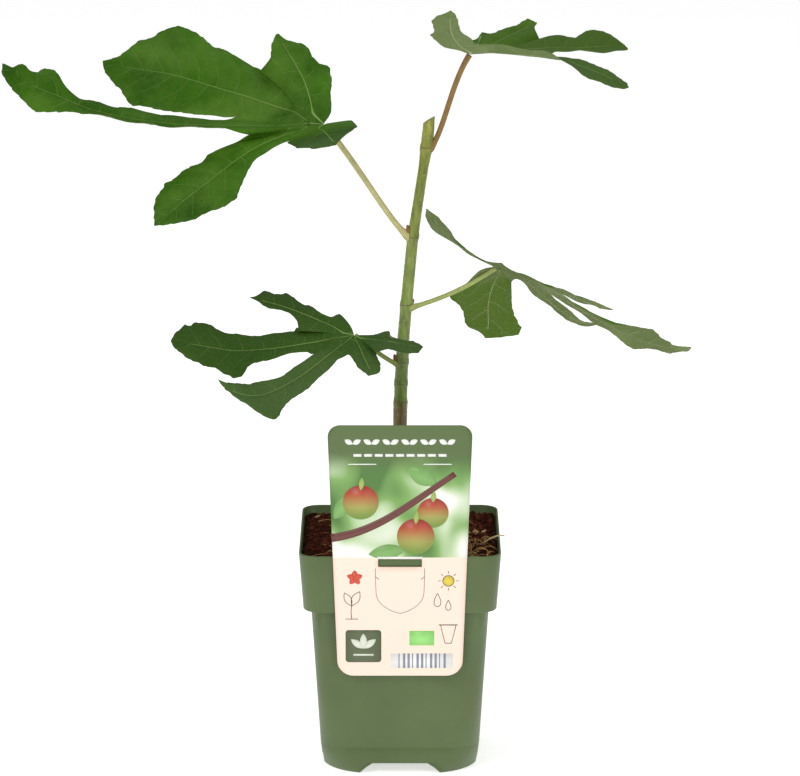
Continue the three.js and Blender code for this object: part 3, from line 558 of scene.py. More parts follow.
def open_edges(tris, count):
    """Corners where an edge starts and ends whose opposite direction doesn't occur."""
    u, v = tris.ravel().astype(np.int64), np.roll(tris, -1, axis=1).ravel().astype(np.int64)
    lone = ~np.isin(u * count + v, v * count + u)
    at = np.arange(tris.size)[lone]
    return at, at - at % 3 + (at % 3 + 1) % 3


def thicken(points, tris, half, corners=None):
    """Closed shell: points +- half * normal, both sides' faces, and a strip along the open edges.

    Also returns the kind of each face, 0 on the upper side and 1 elsewhere, and the UV maps' pairs.
    """
    n, count = vertex_normals(points, tris), len(points)
    at, to = open_edges(tris, count)
    u, v = tris.ravel()[at], tris.ravel()[to]
    rim = np.concatenate([np.stack([v, u, u + count], 1), np.stack([v, u + count, v + count], 1)])
    faces = np.concatenate([tris, tris[:, ::-1] + count, rim])
    kinds = np.repeat([0, 1, 1], [len(tris), len(tris), len(rim)])
    half = np.asarray(half)[..., None] if np.ndim(half) else half
    solid = np.vstack([points + n * half, points - n * half])
    data = {}
    for key, pairs in (corners or {}).items():
        p = pairs.reshape(-1, 3, 2)
        flat = pairs.reshape(-1, 2)
        e, f = flat[at], flat[to]
        strip = [np.stack([f, e, e], 1), np.stack([f, e, f], 1)]
        data[key] = np.concatenate([p, p[:, ::-1], *strip]).reshape(-1, 2)
    return solid, faces, kinds, data


def two_triangles(quads):
    """Each quad as two triangles."""
    return np.concatenate([quads[:, [0, 1, 2]], quads[:, [0, 2, 3]]])


print("a single triangle, thickened, has", len(thicken(np.eye(3), np.array([[0, 1, 2]]), 0.1)[1]), "faces")

# %% [markdown]
# The card's outline is a half width at every height. The sheet is a grid of heights and of shares
# of that half width, with lines that follow the window, so the window is simply left out of the
# list of faces. The strip is a line in the y, z plane, carried across x.

# %% Card sheet and the strip that holds it
CARD = dict(bottom=69.3, top=238.4, half_bottom=40.0, half_top=46.2, round_top=8.0, round_bottom=10.0)
WINDOW = dict(half=14.0, low=143.4, high=148.8, share=0.3)  # share of the grid's columns in front of it
CARD_THICK, STRIP_THICK = 0.6, 0.5
STRIP_HALF = 13.6  # half the strip's width


def card_y(z):
    """The card's middle plane: -66.05 - 0.0727 (z - 150)"""
    return -66.05 - 0.0727 * (z - 150)


def card_half(z):
    """Half width at a height, drawn in at the rounded corners: h - (r - sqrt(r^2 - (r - d)^2))"""
    h = mix(CARD["half_bottom"], CARD["half_top"], (z - CARD["bottom"]) / (CARD["top"] - CARD["bottom"]))
    for r, d in ((CARD["round_top"], CARD["top"] - z), (CARD["round_bottom"], z - CARD["bottom"])):
        gap = np.clip(r - d, 0, r)
        h = h - (r - np.sqrt(r * r - gap * gap))
    return h


def card_sheet():
    """Points (x, card_y(z), z) with x = share of the half width, bent so that a line runs by the window."""
    bend = 1 - np.cos(np.linspace(0, np.pi / 2, 10))
    foot, head = CARD["bottom"] + CARD["round_bottom"] * bend, CARD["top"] - CARD["round_top"] * bend
    below = np.linspace(foot[-1], WINDOW["low"], 16)
    above = np.linspace(WINDOW["high"], head[-1], 20)
    levels = np.unique(np.round(np.concatenate([foot, below, [145, 147], above, head]), 4))
    edge = WINDOW["share"]
    shares = np.concatenate([np.linspace(-1, -edge, 9), np.linspace(-edge, edge, 9)[1:-1],
                             np.linspace(edge, 1, 9)])
    z, u = np.meshgrid(levels, shares, indexing="ij")
    half = card_half(z)
    inner = WINDOW["half"] * np.minimum(1, half / 30)
    near, far = inner * np.abs(u) / edge, mix(inner, half, (np.abs(u) - edge) / (1 - edge))
    x = np.sign(u) * np.where(np.abs(u) <= edge, near, far)
    points = np.stack([x, card_y(z), z], -1).reshape(-1, 3)
    quads = np.array(grid_faces(len(levels), len(shares), ring=False))
    middle = points[quads].mean(1)
    in_window = ((np.abs(middle[:, 0]) < WINDOW["half"]) & (middle[:, 2] > WINDOW["low"])
                 & (middle[:, 2] < WINDOW["high"]))
    return points, two_triangles(quads[~in_window])


def hook_strip():
    """Through the window, over the rim and down behind it, as a line of (y, z) carried across x."""
    behind = -RIM + WALL
    corners = np.array([[card_y(151.0) + 0.3, 150.9], [-64.5, 151.0], [behind + 0.7, 150.9],
                        [behind + 1.0, 149.5], [behind + 2.3, 132.0]])
    fine = np.linspace(0, 1, 30)
    y, z = (np.interp(fine, np.linspace(0, 1, len(corners)), corners[:, i])[:, None] for i in (0, 1))
    points = np.stack(np.broadcast_arrays(np.linspace(-STRIP_HALF, STRIP_HALF, 5)[None], y, z), -1)
    return points.reshape(-1, 3), two_triangles(np.array(grid_faces(30, 5, ring=False)))


card_solid, card_faces, _, _ = thicken(*card_sheet(), CARD_THICK / 2)
strip_solid, strip_faces, _, _ = thicken(*hook_strip(), STRIP_THICK / 2)
print(f"card: {CARD['top'] - CARD['bottom']:.1f} mm tall, {2 * card_half(200.0):.1f} mm wide at 200 mm")

# %% [markdown]
# The printing is a plain design without any words: an olive head, a blurred picture of leaves
# with round fruit on a twig, and a cream foot with small line drawings and plain blocks. The
# three fields are mixed in the material by height; the head melts into the picture.

# %% Card materials: printed plastic sheet
PICTURE = {"foot": 149.8, "head": (203.0, 222.0)}  # heights in mm where the fields of the card meet


def card_material():
    """Cream foot, blurred green and white picture that is paler at the bottom, olive head."""
    m, tree, shader = begin("printed_card", Roughness=0.38, IOR=1.5)
    place = put(tree, "ShaderNodeTexCoord").outputs["Object"]
    height = put(tree, "ShaderNodeSeparateXYZ", {0: place}).outputs["Z"]
    soft = put(tree, "ShaderNodeTexNoise",
               {"Vector": place, "Scale": per(30), "Detail": 0.6, "Distortion": 0.4})
    low, high = [z * MM for z in PICTURE["head"]]
    paler = put(tree, "ShaderNodeMapRange", {0: height, 1: PICTURE["foot"] * MM, 2: high, 3: 0.12, 4: -0.1})
    blur = put(tree, "ShaderNodeMath", {0: soft.outputs["Fac"], 1: paler.outputs[0]}, operation="ADD")
    picture = put(tree, "ShaderNodeValToRGB", {"Fac": blur.outputs[0]},
                  stops=[(0.34, "#4e7a36"), (0.46, "#7faa5c"), (0.55, "#c3d8ae"), (0.64, "#f4f3ec")])
    above = put(tree, "ShaderNodeMath", {0: height, 1: PICTURE["foot"] * MM}, operation="GREATER_THAN")
    field = put(tree, "ShaderNodeMix",
                {0: above.outputs[0], 6: colour("#ffe3d1"), 7: picture.outputs["Color"]},
                data_type="RGBA").outputs[2]
    head = put(tree, "ShaderNodeMapRange", {0: height, 1: low, 2: high}, interpolation_type="SMOOTHSTEP")
    full = put(tree, "ShaderNodeMix", {0: head.outputs[0], 6: field, 7: colour("#566b3a")}, data_type="RGBA")
    tree.links.new(full.outputs[2], shader.inputs["Base Color"])
    return m


def fruit_material():
    """Ripening fruit: green foot, red shoulder, by the tone of each point."""
    m, tree, shader = begin("ink_fruit", Roughness=0.4, IOR=1.5)
    tone = put(tree, "ShaderNodeAttribute", attribute_name="tone")
    ripe = put(tree, "ShaderNodeValToRGB", {"Fac": tone.outputs["Fac"]},
               stops=[(0.05, "#7c9c48"), (0.35, "#a3a050"), (0.75, "#bf553c"), (1.0, "#a93a38")])
    tree.links.new(ripe.outputs["Color"], shader.inputs["Base Color"])
    return m


def ink(name, code):
    """Printing ink on plastic: one flat colour under the same satin film."""
    m, _, shader = begin(name, Roughness=0.4, IOR=1.5)
    shader.inputs["Base Color"].default_value = colour(code)
    return m


make("card_visual", *join([(card_solid, card_faces.tolist()), (strip_solid, strip_faces.tolist())]),
     card_material(), "label_card", "label_card")

# %% [markdown]
# Everything with an edge is a thin film of its own, a few hundredths of a millimetre proud of the
# card and a little more where it lies on another film. A film is made from a pair of lines: a
# disc, a leaf or a bar is the area between a left and a right line.

# %% Films of ink
INK_LIFT, INK_ROOT = 0.05, 0.2  # how far ink stands in front of the card, and where its back is
THIN = 0.45  # width of a thin line


def film(left, right, lift=INK_LIFT):
    """Thin closed film on the card between two lines of (x, z) points, standing lift in front of it."""
    left, right = np.asarray(left, float), np.asarray(right, float)
    front, back = -(CARD_THICK / 2 + lift), -INK_ROOT
    front_left, front_right, back_left, back_right = [
        np.stack([p[:, 0], card_y(p[:, 1]) + y, p[:, 1]], 1) for y in (front, back) for p in (left, right)]
    return closed_rings(np.stack([front_left, front_right, back_right, back_left], 1))


def disc(x, z, r, lift=INK_LIFT):
    """Round film: (x +- r cos a, z + r sin a)."""
    a = np.linspace(-np.pi / 2 + 0.02, np.pi / 2 - 0.02, 22)
    edge = r * np.stack([np.cos(a), np.sin(a)], 1)
    return film(edge * [-1, 1] + [x, z], edge + [x, z], lift)


def bar(x0, x1, z0, z1, lift=INK_LIFT):
    """Upright rectangle between two x and two z."""
    return film([[x0, z0], [x0, z1]], [[x1, z0], [x1, z1]], lift)


def round_bar(x0, x1, z0, z1, r):
    """Bar with round corners: r (1 - sin a) narrower at r (1 - cos a) from either end."""
    a = np.linspace(0, np.pi / 2, 7)
    narrow, d = r * (1 - np.sin(a)), r * (1 - np.cos(a))
    z, narrow = np.r_[z0 + d, z1 - d[::-1]], np.r_[narrow, narrow[::-1]]
    return film(np.stack([x0 + narrow, z], 1), np.stack([x1 - narrow, z], 1))


def oval_axis(x, z, length, angle, steps):
    """Shares 0..1, the points of an oval's axis at them, and the direction across it."""
    t, a = np.linspace(0, 1, steps), np.radians(angle)
    axis = np.array([x, z]) + np.array([np.cos(a), np.sin(a)]) * (t * length)[:, None]
    return t, axis, np.array([-np.sin(a), np.cos(a)])


def leaf_mark(x, z, length, width, angle, lift=INK_LIFT):
    """Pointed oval: 0.5 width sin(pi t)^0.8 either side of a line of this length and angle."""
    t, axis, across = oval_axis(x, z, length, angle, 15)
    half = 0.5 * width * np.clip(np.sin(np.pi * t), 0.01, 1)[:, None] ** 0.8 * across
    return film(axis + half, axis - half, lift)


def stroke(points, width, lift=INK_LIFT):
    """A line through the points, of one width or of one width per point."""
    p = np.asarray(points, float)
    d = unit(np.gradient(p, axis=0))
    over = np.stack([-d[:, 1], d[:, 0]], 1) * np.atleast_1d(width)[:, None] / 2
    return film(p + over, p - over, lift)


def circle_line(x, z, r):
    """A full circle of ink."""
    a = np.linspace(0, 2 * np.pi, 33) + 0.01
    return stroke(np.stack([x + r * np.cos(a), z + r * np.sin(a)], 1), 0.5)


def leaf_line(x, z, length, width, angle):
    """Outline of a pointed oval: 0.5 width sin(pi t) either side of its axis."""
    t, axis, across = oval_axis(x, z, length, angle, 13)
    half = 0.5 * width * np.sin(np.pi * t)[:, None] * across
    return [stroke(axis + half, THIN), stroke(axis - half, THIN)]


def drop_line(x, z, r):
    """Outline of a drop: (r sin a ((1 - cos a)/2)^0.6, 1.5 r cos a)."""
    a = np.linspace(0.02, 2 * np.pi - 0.02, 31)
    slim = np.sin(a) * ((1 - np.cos(a)) / 2) ** 0.6
    return stroke(np.stack([x + r * slim, z + 1.5 * r * np.cos(a)], 1), THIN)


def sun_rays(x, z, r):
    """Eight short strokes from 1.35 to 1.85 radii."""
    reach = r * np.array([1.35, 1.6, 1.85])[:, None]
    return [stroke([x, z] + reach * [np.cos(a), np.sin(a)], THIN) for a in np.arange(8) * np.pi / 4]


def petals(x, z, r):
    """A ring of five pointed ovals, each a little proud of the one before."""
    return [leaf_mark(x, z, r, 0.7 * r, 90 + 72 * k, INK_LIFT + 0.008 * k) for k in range(5)]


def tongue_side(side):
    """One side of the cut round the tongue: straight down, then 15.4 (1 - t^2.6)^0.8 to the point."""
    t = np.linspace(0, 1, 14)
    round_part = np.stack([15.4 * (1 - t ** 2.6) ** 0.8, 128 - 16.2 * t], 1)
    return stroke(np.vstack([[[15.8, 142.4], [15.7, 135]], round_part]) * [side, 1], 0.42)


def fruit_tone(part, z, r):
    """0 at a fruit's foot to 1 at its top, for each point of its disc."""
    return np.clip((part[0][:, 2] - z) / (2 * r) + 0.5, 0, 1)


print("a disc is a film of", len(disc(0, 150, 5)[0]), "points")

# %% [markdown]
# The drawings are placed one by one, with x and height in millimetres. Each ink is one piece: all its
# films are joined, because they share one colour. The fruit is the only drawing that is shaded,
# by a tone that rises from its foot to its top.

# %% Card drawings
TWIG = bezier(*np.array([[-44, 163], [-14, 167], [6, 186], [35, 206]], float), np.linspace(0, 1, 20))
FRUIT = [(-25, 187, 11.5, 0.06), (21, 180, 10, 0.06), (10, 164, 12, 0.08)]  # x, z, radius and lift in mm
GARLAND = [-30, -18, -6, 6, 18, 30]  # x of the leaf pairs in the head
marks = {
    "ink_white": [leaf_mark(x, 226, 5.8, 3.4, tilt) for x in GARLAND for tilt in (28, 152)]
    + [bar(x - 2.6, x + 2.6, 217.6, 219.4) for x in np.arange(-27, 28, 6.75)]
    + [stroke([[x, 212.5], [x + 9, 212.5], [x + 18, 212.5]], 0.7) for x in (-33, 15)],
    "ink_twig": [stroke(TWIG, np.linspace(5.6, 3.8, 20), 0.045)],
    "ink_leaf_light": [leaf_mark(24, 199, 22, 12, 150, 0.03), leaf_mark(-42, 176, 20, 10, 55, 0.03),
                       leaf_mark(-20, 152, 24, 10, 8, 0.03)],
    "ink_fruit_stalk": [leaf_mark(x, z + 0.7 * r, 0.75 * r, 3.4, 84, lift + 0.04) for x, z, r, lift in FRUIT],
    "ink_line": leaf_line(-31, 117, 11, 5, 62) + leaf_line(-31, 117, 10, 4.4, 118)
    + [stroke([[-31, 108], [-31.4, 112.5], [-31, 117]], 0.5),
       stroke([[-35, 108], [-31, 108], [-27, 108]], 0.5),
       drop_line(24, 121, 3), drop_line(31, 117.5, 2.3), circle_line(31, 134, 3.6)]
    + sun_rays(31, 134, 3.6)
    + [stroke([[31 + 5 * side, 104], [31 + 3.5 * side, 97.5], [31 + 2 * side, 91.5]], THIN)
       for side in (-1, 1)]
    + [stroke([[25, 104], [31, 104], [37, 104]], 0.7),
       stroke([[29, 91.5], [31, 91.5], [33, 91.5]], 0.5)],
    "ink_red": petals(-29, 136, 5.2),
    "ink_yellow": [disc(31, 134, 3.3)],
    "ink_olive": [round_bar(-35, -12, 78.5, 100.5, 2)],
    "ink_pale": [leaf_mark(-23.5, 88, 10, 4.4, tilt, 0.08 + 0.01 * (tilt == 90)) for tilt in (38, 90, 142)]
    + [bar(-30, -17, 83, 84.2, 0.08)],
    "ink_green_light": [bar(6, 22, 90, 100)],
    "ink_paper": [bar(-6, 34, 74.5, 84.5), bar(-14.4, 14.4, 148.9, 150.4, 0.08)],
    "ink_slate": [bar(x, x + (1.5 if k % 3 else 0.7), 74.5, 84.5, 0.08)
                  for k, x in enumerate(np.arange(11) * 2.9 - 1)],
    "ink_cut": [tongue_side(1), tongue_side(-1)]
    + [stroke([[side * 15.8, 136.6], [side * 14.6, 136], [side * 13.4, 135]], 0.5) for side in (-1, 1)],
}
INKS = {"ink_white": "#f2f3ee", "ink_twig": "#6b3a33", "ink_leaf_light": "#7faf62",
        "ink_fruit_stalk": "#9fb85e", "ink_line": "#55544b", "ink_red": "#d9503c",
        "ink_yellow": "#e6cf45", "ink_olive": "#5a6544", "ink_pale": "#dfe3d2",
        "ink_green_light": "#9be07c", "ink_paper": "#f6f3ef", "ink_slate": "#8b93a3",
        "ink_cut": "#8d8074"}
for name, parts in marks.items():
    make("card_" + name, *join(parts), ink(name, INKS[name]), "label_card")
fruit_parts = [disc(*fruit) for fruit in FRUIT]
tones = np.concatenate([fruit_tone(part, z, r) for part, (_, z, r, _) in zip(fruit_parts, FRUIT)])
make("card_ink_fruit", *join(fruit_parts), fruit_material(), "label_card", tones=tones)

# %% [markdown]
# ## The stem
#
# The stem is a young, two-season shoot. Its lower part has turned woody and brown, above an old
# ring scar it is still green. The section is a circle with five shallow root lobes at the soil,
# a swelling at every node, and fine long furrows that fade upwards. The tip is an old slanting
# pruning cut. It is a height and an angle on a grid: the rings follow the centre line.

# %% Stem surface
STEM_FOOT, STEM_TOP, STEM_SIDES = 147.3, 421.5, 64
STEM_LINE = np.array([[0, STEM_FOOT], [0, 184], [0, 220], [0.6, 249], [2.4, 282], [5.1, 312],
                      [8.2, 345], [13.4, 380], [17.1, 404], [18.7, STEM_TOP]])  # x, height
STEM_WIDTH = np.array([[STEM_FOOT, 15.5], [149.5, 12], [154, 9.8], [165, 9.1], [236, 9.0], [238, 8.5],
                       [262, 8.3], [282, 7.8], [340, 7.3], [372, 6.5], [392, 6.4], [402, 7.9],
                       [412, 7.7], [424, 7.6]])  # height, width
NODES = np.array([[236.7, 0.35], [248.7, 0.45], [263, 0.5], [301, 0.5], [345.5, 0.6],
                  [404, 0.4]])  # height, how far the radius swells


def stem_x(z):
    """Sideways place of the stem at a height, straight between the listed points and rounded over 12 mm."""
    around = np.asarray(z)[..., None] + np.linspace(-6, 6, 9)
    return np.interp(around, STEM_LINE[:, 1], STEM_LINE[:, 0]).mean(-1)


def stem_radius(z):
    """Half the listed width plus a swelling exp(-((z - node) / 2.2)^2) at every node."""
    r = np.interp(z, STEM_WIDTH[:, 0], STEM_WIDTH[:, 1]) / 2
    return r + (NODES[:, 1] * np.exp(-((np.asarray(z)[..., None] - NODES[:, 0]) / 2.2) ** 2)).sum(-1)


def stem_points():
    """Rings with five lobes low down, furrows and ring scars, tilted at the tip; and the scars' depth."""
    z = np.concatenate([np.linspace(STEM_FOOT, 160, 40), np.linspace(160, STEM_TOP, 420)[1:]])
    a = np.arange(STEM_SIDES) * 2 * np.pi / STEM_SIDES
    Z, A = np.meshgrid(z, a, indexing="ij")
    low = 1 - smooth((Z - STEM_FOOT) / 9)
    woody = 1 - smooth((Z - 225) / 24)
    furrow = 0.10 * lumps(A * 4, Z / 9, 2.2, 1.9) * (0.35 + 0.65 * woody) + 0.06 * lumps(A * 5, Z, 3.1, 2.7)
    scars = (np.exp(-((Z[..., None] - NODES[:, 0]) / 0.35) ** 2)).sum(-1)
    R = stem_radius(Z) * (1 + 0.09 * np.cos(5 * A + 0.7) * low) + furrow - 0.16 * scars
    tilt = 0.62 * smooth((Z - 412.5) / 9)
    return np.stack([stem_x(Z) + R * np.cos(A), R * np.sin(A), Z + tilt * R * np.cos(A)], -1), scars


rings, scars = stem_points()
cut = np.array([mix(rings[-1], rings[-1].mean(0), t) - [0, 0, 0.5 * smooth(t)] for t in (0.12, 0.35, 0.7)])
stem_surface, stem_faces = closed_rings(np.concatenate([rings, cut]))
stem_tones = np.zeros(len(stem_surface))
stem_tones[:scars.size] = np.clip(scars, 0, 1).ravel()
print(f"stem: leans {stem_x(STEM_TOP):.1f} mm to the right over {STEM_TOP - STEM_FOOT:.1f} mm")

# %% [markdown]
# Buds sit above the leaf scars. A bud is a short cone with a round foot, leaning out a little,
# its scales told by two shallow rings.

# %% Buds


def bud(z, heading, length, radius):
    """Rings along a leaning line, radius sin-shaped with two shallow steps for the scales."""
    h = np.radians(heading)
    out = np.array([np.cos(h), np.sin(h), 0])
    z0 = z - length * 0.45
    base = np.array([stem_x(z0), 0, z0]) + out * (stem_radius(z0) - radius * 0.35)
    t = np.linspace(0, 1, 22)
    line = base + (out * radius * 0.7 + [0, 0, length]) * t[:, None] - [0, 0, 0.4]
    scales = 1 - 0.10 * np.exp(-((t - 0.35) / 0.05) ** 2) - 0.12 * np.exp(-((t - 0.6) / 0.05) ** 2)
    r = radius * (0.25 + 0.75 * np.sin(np.pi * np.minimum(0.985, 0.3 + 0.68 * t))) * scales
    r[-1] *= 0.3
    a = np.arange(20) * 2 * np.pi / 20
    return closed_rings(line[:, None] + r[:, None, None] * np.stack([np.cos(a), np.sin(a), 0 * a], 1)[None])


# height, heading in degrees, length and radius
BUDS = [(266, 190, 4.6, 1.6), (351, 200, 5.4, 1.7), (408, 20, 3.6, 1.3), (303, 20, 3, 1.2)]
bud_points, bud_faces = join([bud(*one) for one in BUDS])
print(f"{len(BUDS)} buds")

# %% [markdown]
# Young bark is a smooth satin skin that still lets its green through. Its colour is a ramp over
# the height. A noise drawn out along the stem makes it streaky and moves the border between brown
# and green up and down, and a cell pattern of 3.4 mm gives the pale breathing pores. Everything
# else on the plant that is one colour shares one plainer skin.

# %% Stem materials: young fig bark, bud scales


def bark_material():
    """Brown woody foot, green shoot above 237 mm, yellower to the tip, darker ring scars, pale dots."""
    m, tree, shader = begin("bark_young_fig", Roughness=0.42, IOR=1.5)
    place = put(tree, "ShaderNodeTexCoord").outputs["Object"]
    height = put(tree, "ShaderNodeSeparateXYZ", {0: place}).outputs["Z"]
    long = put(tree, "ShaderNodeMapping", {"Vector": place, "Scale": (1.0, 1.0, 0.22)}).outputs[0]
    streak = put(tree, "ShaderNodeTexNoise",
                 {"Vector": long, "Scale": per(2.2), "Detail": 4.0, "Roughness": 0.6})
    sway = put(tree, "ShaderNodeMath", {0: streak.outputs["Fac"], 1: 0.02}, operation="MULTIPLY")
    level = put(tree, "ShaderNodeMath", {0: height, 1: sway.outputs[0]}, operation="ADD")
    share = put(tree, "ShaderNodeMapRange", {0: level.outputs[0], 1: 0.147, 2: 0.435})
    base = put(tree, "ShaderNodeValToRGB", {"Fac": share.outputs[0]},
               stops=[(0.0, "#543d22"), (0.18, "#64502b"), (0.325, "#675426"), (0.36, "#607828"),
                      (0.45, "#6a7f36"), (0.6, "#7c8e3c"), (0.74, "#7b8838"), (0.88, "#727c18"),
                      (1.0, "#8f8f3a")])
    mottle = put(tree, "ShaderNodeMapRange", {0: streak.outputs["Fac"], 1: 0.3, 2: 0.7, 3: 0.58, 4: 1.25})
    shade = put(tree, "ShaderNodeVectorMath", {0: base.outputs["Color"], 3: mottle.outputs[0]},
                operation="SCALE")
    dots = put(tree, "ShaderNodeTexVoronoi", {"Vector": place, "Scale": per(3.4), "Randomness": 1.0})
    dot = put(tree, "ShaderNodeMapRange", {0: dots.outputs["Distance"], 1: 0.10, 2: 0.16, 3: 0.45, 4: 0.0})
    dotted = put(tree, "ShaderNodeMix", {0: dot.outputs[0], 6: shade.outputs[0], 7: colour("#b9b184")},
                 data_type="RGBA")
    scar = put(tree, "ShaderNodeAttribute", attribute_name="tone")
    ringed = put(tree, "ShaderNodeMix", {0: scar.outputs["Fac"], 6: dotted.outputs[2], 7: colour("#5a4a2a")},
                 data_type="RGBA")
    bump = put(tree, "ShaderNodeBump",
               {"Height": streak.outputs["Fac"], "Strength": 0.35, "Distance": 0.0006})
    tree.links.new(ringed.outputs[2], shader.inputs["Base Color"])
    tree.links.new(bump.outputs["Normal"], shader.inputs["Normal"])
    return m


def plain(name, code, mm, spread, **constants):
    """Plant skin of one colour, lighter and darker by spread, in patches of this size."""
    m, tree, shader = begin(name, **constants)
    place = put(tree, "ShaderNodeTexCoord").outputs["Object"]
    noise = put(tree, "ShaderNodeTexNoise", {"Vector": place, "Scale": per(mm), "Detail": 3.0})
    gain = put(tree, "ShaderNodeMapRange",
               {0: noise.outputs["Fac"], 1: 0.25, 2: 0.75, 3: 1 - spread, 4: 1 + spread})
    tint = put(tree, "ShaderNodeVectorMath", {0: colour(code)[:3], 3: gain.outputs[0]}, operation="SCALE")
    bump = put(tree, "ShaderNodeBump", {"Height": noise.outputs["Fac"], "Strength": 0.15, "Distance": 0.0004})
    tree.links.new(tint.outputs[0], shader.inputs["Base Color"])
    tree.links.new(bump.outputs["Normal"], shader.inputs["Normal"])
    return m


make("stem_visual", stem_surface, stem_faces, bark_material(), "stem", "stem", tones=stem_tones)
bud_scale = plain("bud_scale", "#7c5c34", 3.0, 0.25, Roughness=0.6, IOR=1.45)
make("stem_buds", bud_points, bud_faces, bud_scale, "stem")

# %% [markdown]
# ## The leaf stalks
#
# A fig's leaf stalk is long, round and a little thicker where it joins the stem. Each is a tube
# along one cubic curve that leaves the stem at a node and arrives under the blade, both where the
# frame has them. Between the two a curve may bend a little otherwise than the frame's plainer one.

# %% Stalks
STALKS = {  # height of the foot, how it leaves the stem, and the curve's third point from the joint
    "upper_left": dict(z=344, heading=182, rise=24, reach=12.5, end=(22, 0, -25), radius=1.85,
                       slot="stalk_pale", tint="#b3ae74"),
    "lower_left": dict(z=260.5, heading=205, rise=16, reach=10, end=(12, 4, -10), radius=1.5,
                       slot="stalk_green", tint="#808c46"),
    "top_right": dict(z=402.2, heading=-6, rise=12, reach=10, end=(-14.5, 0, -23), radius=1.75,
                      slot="stalk_brown", tint="#836430"),
    "right": dict(z=297.8, heading=-18, rise=18, reach=16, end=(-24, -9, -15), radius=1.5,
                  slot="stalk_green", tint="#97a25c"),
}
# where each blade's five lobes and its stalk meet
JOINTS = {"upper_left": (-49, 0, 419), "lower_left": (-29.6, -12, 283.6), "top_right": (44.9, 0, 464.5),
          "right": (62.5, 0, 325.5)}
INSIDE, UNDER = 2.6, 1.2  # mm that a stalk starts below the stem's surface and ends short of the joint


def stalk(k, J):
    """Cubic from the stem to just under the joint J, a little wider at both ends.

    The radius is r (1 + 0.8 exp(-(t / 0.1)^2) + 0.12 exp(-((1 - t) / 0.08)^2)).
    """
    h, up = np.radians(k["heading"]), np.radians(k["rise"])
    root = np.array([stem_x(k["z"]), 0, k["z"]])
    out = np.array([np.cos(h), np.sin(h), np.tan(up)])
    end = np.array(k["end"], float)
    line = bezier(root, root + out * k["reach"], J + end, J + unit(end) * UNDER, np.linspace(0, 1, 90))
    far = np.hypot(line[:, 0] - stem_x(line[:, 2]), line[:, 1]) > stem_radius(line[:, 2]) - INSIDE
    line = line[np.argmax(far):]

    def radius(t, a):
        ends = 0.8 * np.exp(-(t / 0.1) ** 2) + 0.12 * np.exp(-((1 - t) / 0.08) ** 2)
        return k["radius"] * (1 + ends) + 0.05 * np.sin(3 * a + 9 * t)

    return closed_rings(tube_rings(line, radius, 24))


for name, k in STALKS.items():
    skin = plain("stalk_skin_" + name, k["tint"], 4.0, 0.16, Roughness=0.48, IOR=1.45)
    points, faces = stalk(k, np.array(JOINTS[name], float))
    make(f"stalk_{name}_visual", points, faces, skin, k["slot"], f"stalk_{name}")

# %% [markdown]
# ## The rule for a leaf blade
#
# A fig leaf is a hand of five lobes that spread from one joint J. Each lobe has a midrib, a line
# that starts at J and turns a little on its way. A half lobe is the surface between the midrib
# and the margin. The margin's distance from the midrib is a short list of places and widths;
# neighbouring lobes share the point where their margins meet. One rule for every lobe of every
# leaf keeps four very different leaves consistent, and makes it easy to grow a fifth.

# %% Midribs
RIB_STEPS = 60


def midrib(J, lobe):
    """Unit steps (cos r cos h, cos r sin h, sin r); heading h, rise r and roll q go from first to last value.

    The rise can bow by a sine on its way, and the roll can twist further between two shares of the length.
    """
    u = np.linspace(0, 1, RIB_STEPS + 1)
    e = u ** lobe.get("ease", 1)
    h = np.radians(mix(*lobe["heading"], e))
    r = np.radians(mix(*lobe["rise"], e) + lobe.get("bow", 0) * np.sin(np.pi * u))
    turn, first, last = lobe.get("twist", (0, 0, 1))
    q = np.radians(mix(*lobe["roll"], e) + turn * smooth((u - first) / (last - first)))[:, None]
    T = np.stack([np.cos(r) * np.cos(h), np.cos(r) * np.sin(h), np.sin(r)], 1)
    side = np.stack([np.sin(h), -np.cos(h), 0 * h], 1)
    up = np.cross(side, T)
    step = (T[1:] + T[:-1]) * 0.5 * lobe["length"] / RIB_STEPS
    return dict(length=lobe["length"], C=np.vstack([J, J + np.cumsum(step, axis=0)]), T=T,
                S=side * np.cos(q) - up * np.sin(q), N=up * np.cos(q) + side * np.sin(q))


def along(rib, s, key):
    """Value of the rib's line C, direction T, right side S or upper normal N at distance s."""
    x = np.clip(np.asarray(s, float) / rib["length"], 0, 1) * RIB_STEPS
    i = np.minimum(x.astype(int), RIB_STEPS - 1)
    return mix(rib[key][i], rib[key][i + 1], (x - i)[..., None])


quarter = midrib(np.zeros(3), dict(length=100, heading=(0, 0), rise=(0, 90), roll=(0, 0)))
print("a rib of 100 mm that turns upright ends at", quarter["C"][-1].round(1))

# %% [markdown]
# The margin stands off the midrib by the listed width. Near the joint it is led to the point that
# two lobes share, which rounds the web between them. It has teeth: each rises slowly and falls
# back quickly, like a low wave that breaks towards the tip. They are measured along the margin
# itself, so a curved edge carries as many as a straight one.

# %% Margins
WAVE_LENGTH = 26.0  # mm from one wave of a margin to the next
WEB = 0.12  # share of a margin that the rounded web takes
FAN = 1.6  # how fast the grid rows that fan out from J turn square to the midrib


def listed(pairs, x, soften):
    """Straight lines through (place, value) pairs, with the corners rounded over 2 * soften."""
    p = np.array(pairs, float)
    return np.mean([np.interp(x + d * soften, p[:, 0], p[:, 1]) for d in (-1, -0.5, 0, 0.5, 1)], axis=0)


